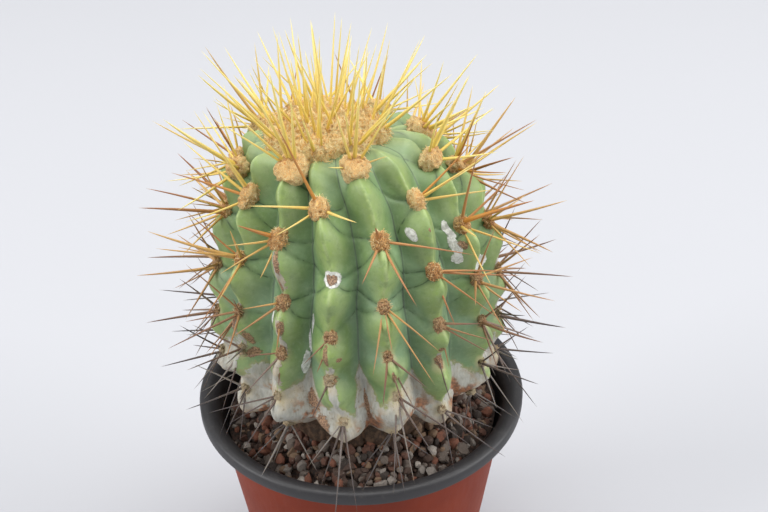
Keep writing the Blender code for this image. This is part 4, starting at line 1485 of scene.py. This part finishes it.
def skin_material():
    """The live skin, and over it cork, scars, dry rings round the areoles and scabs."""
    p = Paint("Cactus skin")
    across = p.attribute("across")
    height = p.height()
    grain = skin_grain(p)
    ragged, fine, speck = grain.ragged, grain.fine, grain.speck
    fibre = p.noise(0.8, 4, 0.6, stretch=(1, 1, 0.25))
    above_cork = p.attribute("cork_edge") + (ragged * 9 + fine * 4 - 6.5)
    cork = p.step(0.7, -0.7, above_cork)
    bare = p.attribute("bare") + (ragged - 0.5) * 1.6 + (fine - 0.5) * 1.4
    scar = p.step(0.02, 0.12, p.attribute("scar") + (ragged - 0.5) * 0.4 + (fine - 0.5) * 0.5)
    scar = scar.most(p.step(3.4, 3.0, bare))
    streak = p.step(0.02, 0.2, p.attribute("streak") + (ragged - 0.5) * 2.2 + (fine - 0.5) * 0.8)
    scab = p.step(0.02, 0.2, p.attribute("scab") + (fine - 0.5) * 0.9 + (speck - 0.5) * 0.7)
    scab = scab.most(p.step(2.3, 1.9, bare))

    halo = p.step(2.2, 0.5, above_cork) * (1 - cork)
    colour = p.mix(halo * 0.6, skin_green(p, grain, across, height), CORK_HALO)
    colour = p.mix(cork.most(streak), colour, cork_tones(p, grain, across, height, fibre))
    scar_colour = p.mix(p.step(0.4, 0.6, fine), *SCAR_TONES)
    colour = p.mix(scar * p.step(0.30, 0.42, fine + scar * 0.1), colour, scar_colour)
    ring = p.step(5.4, 2.6, p.attribute("areole") + ragged * 3) * p.step(66, 34, height)
    colour = p.mix(ring * 0.65, colour, DRY_RING)
    colour = p.mix(scab * 0.92, colour, p.mix(p.step(0.35, 0.65, speck), *SCAB_TONES))

    pale = cork.most(scar).most(streak)
    raised = pale * 0.6 + scab * 1.2 + fibre * pale * 0.35 + fine * scab
    normal = p.bump(raised + fine * 0.16 + speck * 0.08, 0.4 * MM, 0.7)
    roughness = 0.44 + pale * 0.34 + scab * 0.3 + fine * 0.12
    p.translucent(0.06, (1.0, 0.9, 0.4), 1.2 * MM)
    return p.set(Base_Color=colour, Roughness=roughness, Specular_IOR_Level=0.45, Normal=normal)


def spine_material():
    p = Paint("Spines", 0.4)
    along = p.attribute("along")
    tone = p.attribute("tone")
    life = (p.attribute("age") + tone * 0.1 - 0.05).most(0.0)
    root = p.ramp(life, [(0.0, (218, 190, 88)), (0.2, (198, 160, 84)), (0.36, (188, 146, 84)),
                         (0.52, (144, 106, 74)), (0.72, (98, 80, 70)), (1.0, (92, 84, 80))])
    tip = p.ramp(life, [(0.0, (230, 212, 130)), (0.2, (202, 166, 98)), (0.36, (176, 132, 80)),
                        (0.52, (116, 82, 62)), (0.72, (66, 56, 54)), (1.0, (62, 58, 58))])
    colour = p.mix(p.step(0.15, 0.8, along), root, tip)
    streak = p.noise(0.35, 3, 0.6)
    colour = p.mix(p.step(0.5, 0.75, streak) * 0.25, colour, (130, 92, 54))
    amber = p.step(0.7, 0.84, tone) * p.step(0.45, 0.35, life) * p.step(0.03, 0.08, life)
    brown = p.mix(p.step(0.1, 0.9, along), (170, 116, 66), (140, 88, 54))
    golden = p.mix(p.step(0.1, 0.9, along), (186, 122, 46), (150, 92, 44))
    colour = p.mix(amber * 0.85, colour, p.mix(p.step(0.93, 0.97, tone), brown, golden))
    grey = p.step(0.62, 0.8, tone) * p.step(0.5, 0.75, life)
    colour = p.mix(grey * 0.6, colour, (138, 130, 122))
    p.translucent(0.2, (1.0, 0.7, 0.3), 0.8 * MM)
    return p.set(Base_Color=colour, Roughness=0.36 + streak * 0.2,
                 Normal=p.bump(streak, 0.12 * MM, 0.5))


def wool_material(name, light, middle, shade):
    """Felt of curled hairs, with small pits where old spines sat. Painted shade lies in the creases
    between the curls, in the pits and round the spines' roots; painted highlights, together with the
    felt's own cream specks, lie on the small curls.
    """
    p = Paint(name, 0.95)
    age = p.attribute("age")
    curl = p.curls(0.95)
    small = p.curls(0.5)
    pits = p.step(0.30, 0.14, p.cells(2.6) + small * 0.1)
    centre = p.step(0.5, 0.95, p.attribute("middle"))
    rim = p.step(0.5, 0.15, p.attribute("middle"))
    felt = p.mix(centre * 0.5, p.mix(rim * 0.5, middle, light), (238, 164, 80))
    # Painted shade in the creases between the curls; painted highlights, with the felt's own cream
    # specks, on the small curls' tops.
    colour = p.mix(p.step(0.03, 0.26, curl), shade, felt)
    colour = p.mix(p.step(0.1, 0.36, small) * (0.88 - centre * 0.25), colour, light)
    old = p.step(0.06, 0.3, age)
    # Painted shade in the pits and round the spines' roots.
    colour = p.mix(pits * 0.5, colour, (156, 86, 34))
    spine_hole_shade = p.step(1.6, 0.8, p.attribute("spine") + small * 0.8 - 0.2)
    colour = p.mix(spine_hole_shade * 0.55, colour, (170, 98, 38))
    red_brown = p.mix(p.step(0.05, 0.3, curl), (92, 50, 18), (202, 134, 70))
    dull_brown = p.mix(p.step(0.05, 0.3, curl), (84, 56, 40), (184, 146, 112))
    brown = p.mix(p.step(0.25, 0.45, age), red_brown, dull_brown)
    colour = p.mix(old * 0.8, colour, brown)
    # Old bare pads, with painted shade in their pits.
    bare = p.mix(pits, (196, 180, 148), (92, 70, 52))
    colour = p.mix(p.step(0.6, 0.72, age) * 0.85, colour, bare)
    return p.set(Base_Color=colour, Normal=p.bump(curl + small * 0.6 - pits * 0.3, 0.5 * MM, 0.9))


def hair_material():
    p = Paint("Wool hairs", 0.8)
    tone = p.attribute("tone")
    old = p.step(0.12, 0.7, p.attribute("age"))
    colour = p.ramp(tone, [(0.0, (210, 150, 76)), (0.35, (236, 196, 124)), (1.0, (252, 236, 190))])
    colour = p.mix(old * 0.8, colour, p.mix(tone, (116, 78, 52), (198, 162, 124)))
    return p.set(Base_Color=colour)


def grit_material():
    p = Paint("Grit stones", 0.88)
    tone = p.attribute("tone")
    stone = p.ramp(tone, [
        (0.0, (140, 132, 124)), (0.12, (112, 101, 92)), (0.28, (98, 66, 53)),
        (0.45, (124, 78, 59)), (0.56, (76, 58, 49)), (0.74, (128, 104, 82)),
        (0.85, (58, 50, 45)), (0.965, (172, 163, 153))], "CONSTANT")
    grain = p.noise(0.55, 4, 0.65)
    colour = p.mix(p.step(0.4, 0.7, grain) * 0.35, stone, (84, 70, 62))
    colour = p.mix(p.step(0.62, 0.78, p.noise(0.9, 3)) * 0.35, colour, (176, 166, 152))
    return p.set(Base_Color=colour, Roughness=0.8 + grain * 0.15,
                 Normal=p.bump(grain, 0.25 * MM, 0.8))


def bed_material():
    p = Paint("Soil bed", 0.95)
    grain = p.noise(1.2, 4, 0.7)
    colour = p.mix(p.step(0.35, 0.7, grain), (38, 30, 26), (84, 62, 50))
    return p.set(Base_Color=colour, Normal=p.bump(grain, 0.5 * MM, 1.0))


def terracotta_material():
    p = Paint("Terracotta plastic", 0.5)
    broad = p.noise(30, 3)
    scuff = p.noise(2.2, 5, 0.65, stretch=(1, 1, 0.25))
    colour = p.mix(p.step(0.3, 0.7, broad), (112, 35, 6), (124, 43, 11))
    colour = p.mix(p.step(0.58, 0.8, scuff) * 0.2, colour, (152, 78, 52))
    return p.set(Base_Color=colour, Roughness=0.5 + scuff * 0.2, Specular_IOR_Level=0.24,
                 Normal=p.bump(p.noise(0.6, 2) + scuff * 0.6, 0.06 * MM, 0.5))


def black_material():
    p = Paint("Black plastic", 0.45)
    dust = p.noise(3.5, 5, 0.7)
    scuff = p.noise(0.9, 4, 0.65)
    colour = p.mix(p.step(0.5, 0.85, dust) * 0.35, (39, 38, 40), (90, 86, 83))
    return p.set(Base_Color=colour, Roughness=0.36 + dust * 0.25,
                 Normal=p.bump(scuff, 0.08 * MM, 0.5))


def floor_material():
    p = Paint("Pale floor", 0.9)
    return p.set(Base_Color=rgb((176, 177, 181)))


# Stage, light and camera

FLOOR_SIZE = 6.0
# Soft lights round the plant: name, place and size in metres, and power in watts.
LIGHTS = (
    ("top_light", (0.0, 0.3, 3.0), 2.6, 100),
    ("left_light", (-2.6, -0.8, 1.6), 1.5, 64),
    ("right_light", (2.6, -0.4, 1.5), 2.0, 70),
)
LIT_POINT = Vector((0, 0, RIM_LEVEL + 40 * MM))
WORLD_COLOUR = (0.95, 0.96, 0.99, 1)
WORLD_STRENGTH = 0.4


def make_floor():
    bpy.ops.object.select_all(action="DESELECT")
    bpy.ops.mesh.primitive_plane_add(size=FLOOR_SIZE, location=(0, 0, 0))
    floor = bpy.context.object
    floor.name = "floor"
    floor.data.materials.append(floor_material())


def add_light(name, place, size, power):
    light = bpy.data.lights.new(name, "AREA")
    light.size = size
    light.energy = power
    obj = bpy.data.objects.new(name, light)
    obj.location = place
    obj.rotation_euler = (LIT_POINT - Vector(place)).to_track_quat("-Z", "Y").to_euler()
    bpy.context.scene.collection.objects.link(obj)


def light_scene():
    for name, place, size, power in LIGHTS:
        add_light(name, place, size, power)
    world = bpy.data.worlds.new("Soft white")
    bpy.context.scene.world = world
    world.use_nodes = True
    background = world.node_tree.nodes["Background"]
    background.inputs["Color"].default_value = WORLD_COLOUR
    background.inputs["Strength"].default_value = WORLD_STRENGTH
    bpy.context.scene.view_settings.view_transform = "Standard"


def set_camera():
    rise = Vector((0, -math.cos(CAMERA_ELEVATION), math.sin(CAMERA_ELEVATION)))
    across = Vector((1, 0, 0))
    up = rise.cross(across)
    turned_across = across * math.cos(CAMERA_ROLL) + up * math.sin(CAMERA_ROLL)
    turned_up = up * math.cos(CAMERA_ROLL) - across * math.sin(CAMERA_ROLL)
    camera = bpy.data.objects.new("camera", bpy.data.cameras.new("camera"))
    bpy.context.scene.collection.objects.link(camera)
    camera.matrix_world = Matrix.Translation(LOOK_AT + rise * CAMERA_DISTANCE) @ Matrix(
        (turned_across, turned_up, rise)).transposed().to_4x4()
    camera.data.lens = LENS_MM
    camera.data.sensor_width = SENSOR_WIDTH_MM
    camera.data.clip_start = 10 * MM
    bpy.context.scene.camera = camera


def build():
    set_camera()
    make_floor()
    light_scene()
    spines = spine_material()
    hairs = hair_material()
    felt = wool_material("Areole felt", (255, 236, 178), (252, 198, 116), (206, 124, 48))
    crown_wool = wool_material("Crown wool", (255, 240, 182), (255, 212, 126), (226, 160, 72))
    make_stem(skin_material())
    pads = felt_pads()
    grown = stem_spines()
    make_felt(pads, grown, felt)
    pad_fibres(pads, hairs)
    make_spines("stem_spines", grown, spines, "cactus_body")
    tufts, golden = crown_tufts()
    crown = make_crown(tufts, golden, crown_wool)
    crown_fibres(crown, hairs)
    make_spines("crown_spines", golden, spines, "woolly_crown")
    make_pot(terracotta_material(), black_material())
    make_soil_bed(bed_material())
    make_grit(grit_material())


build()
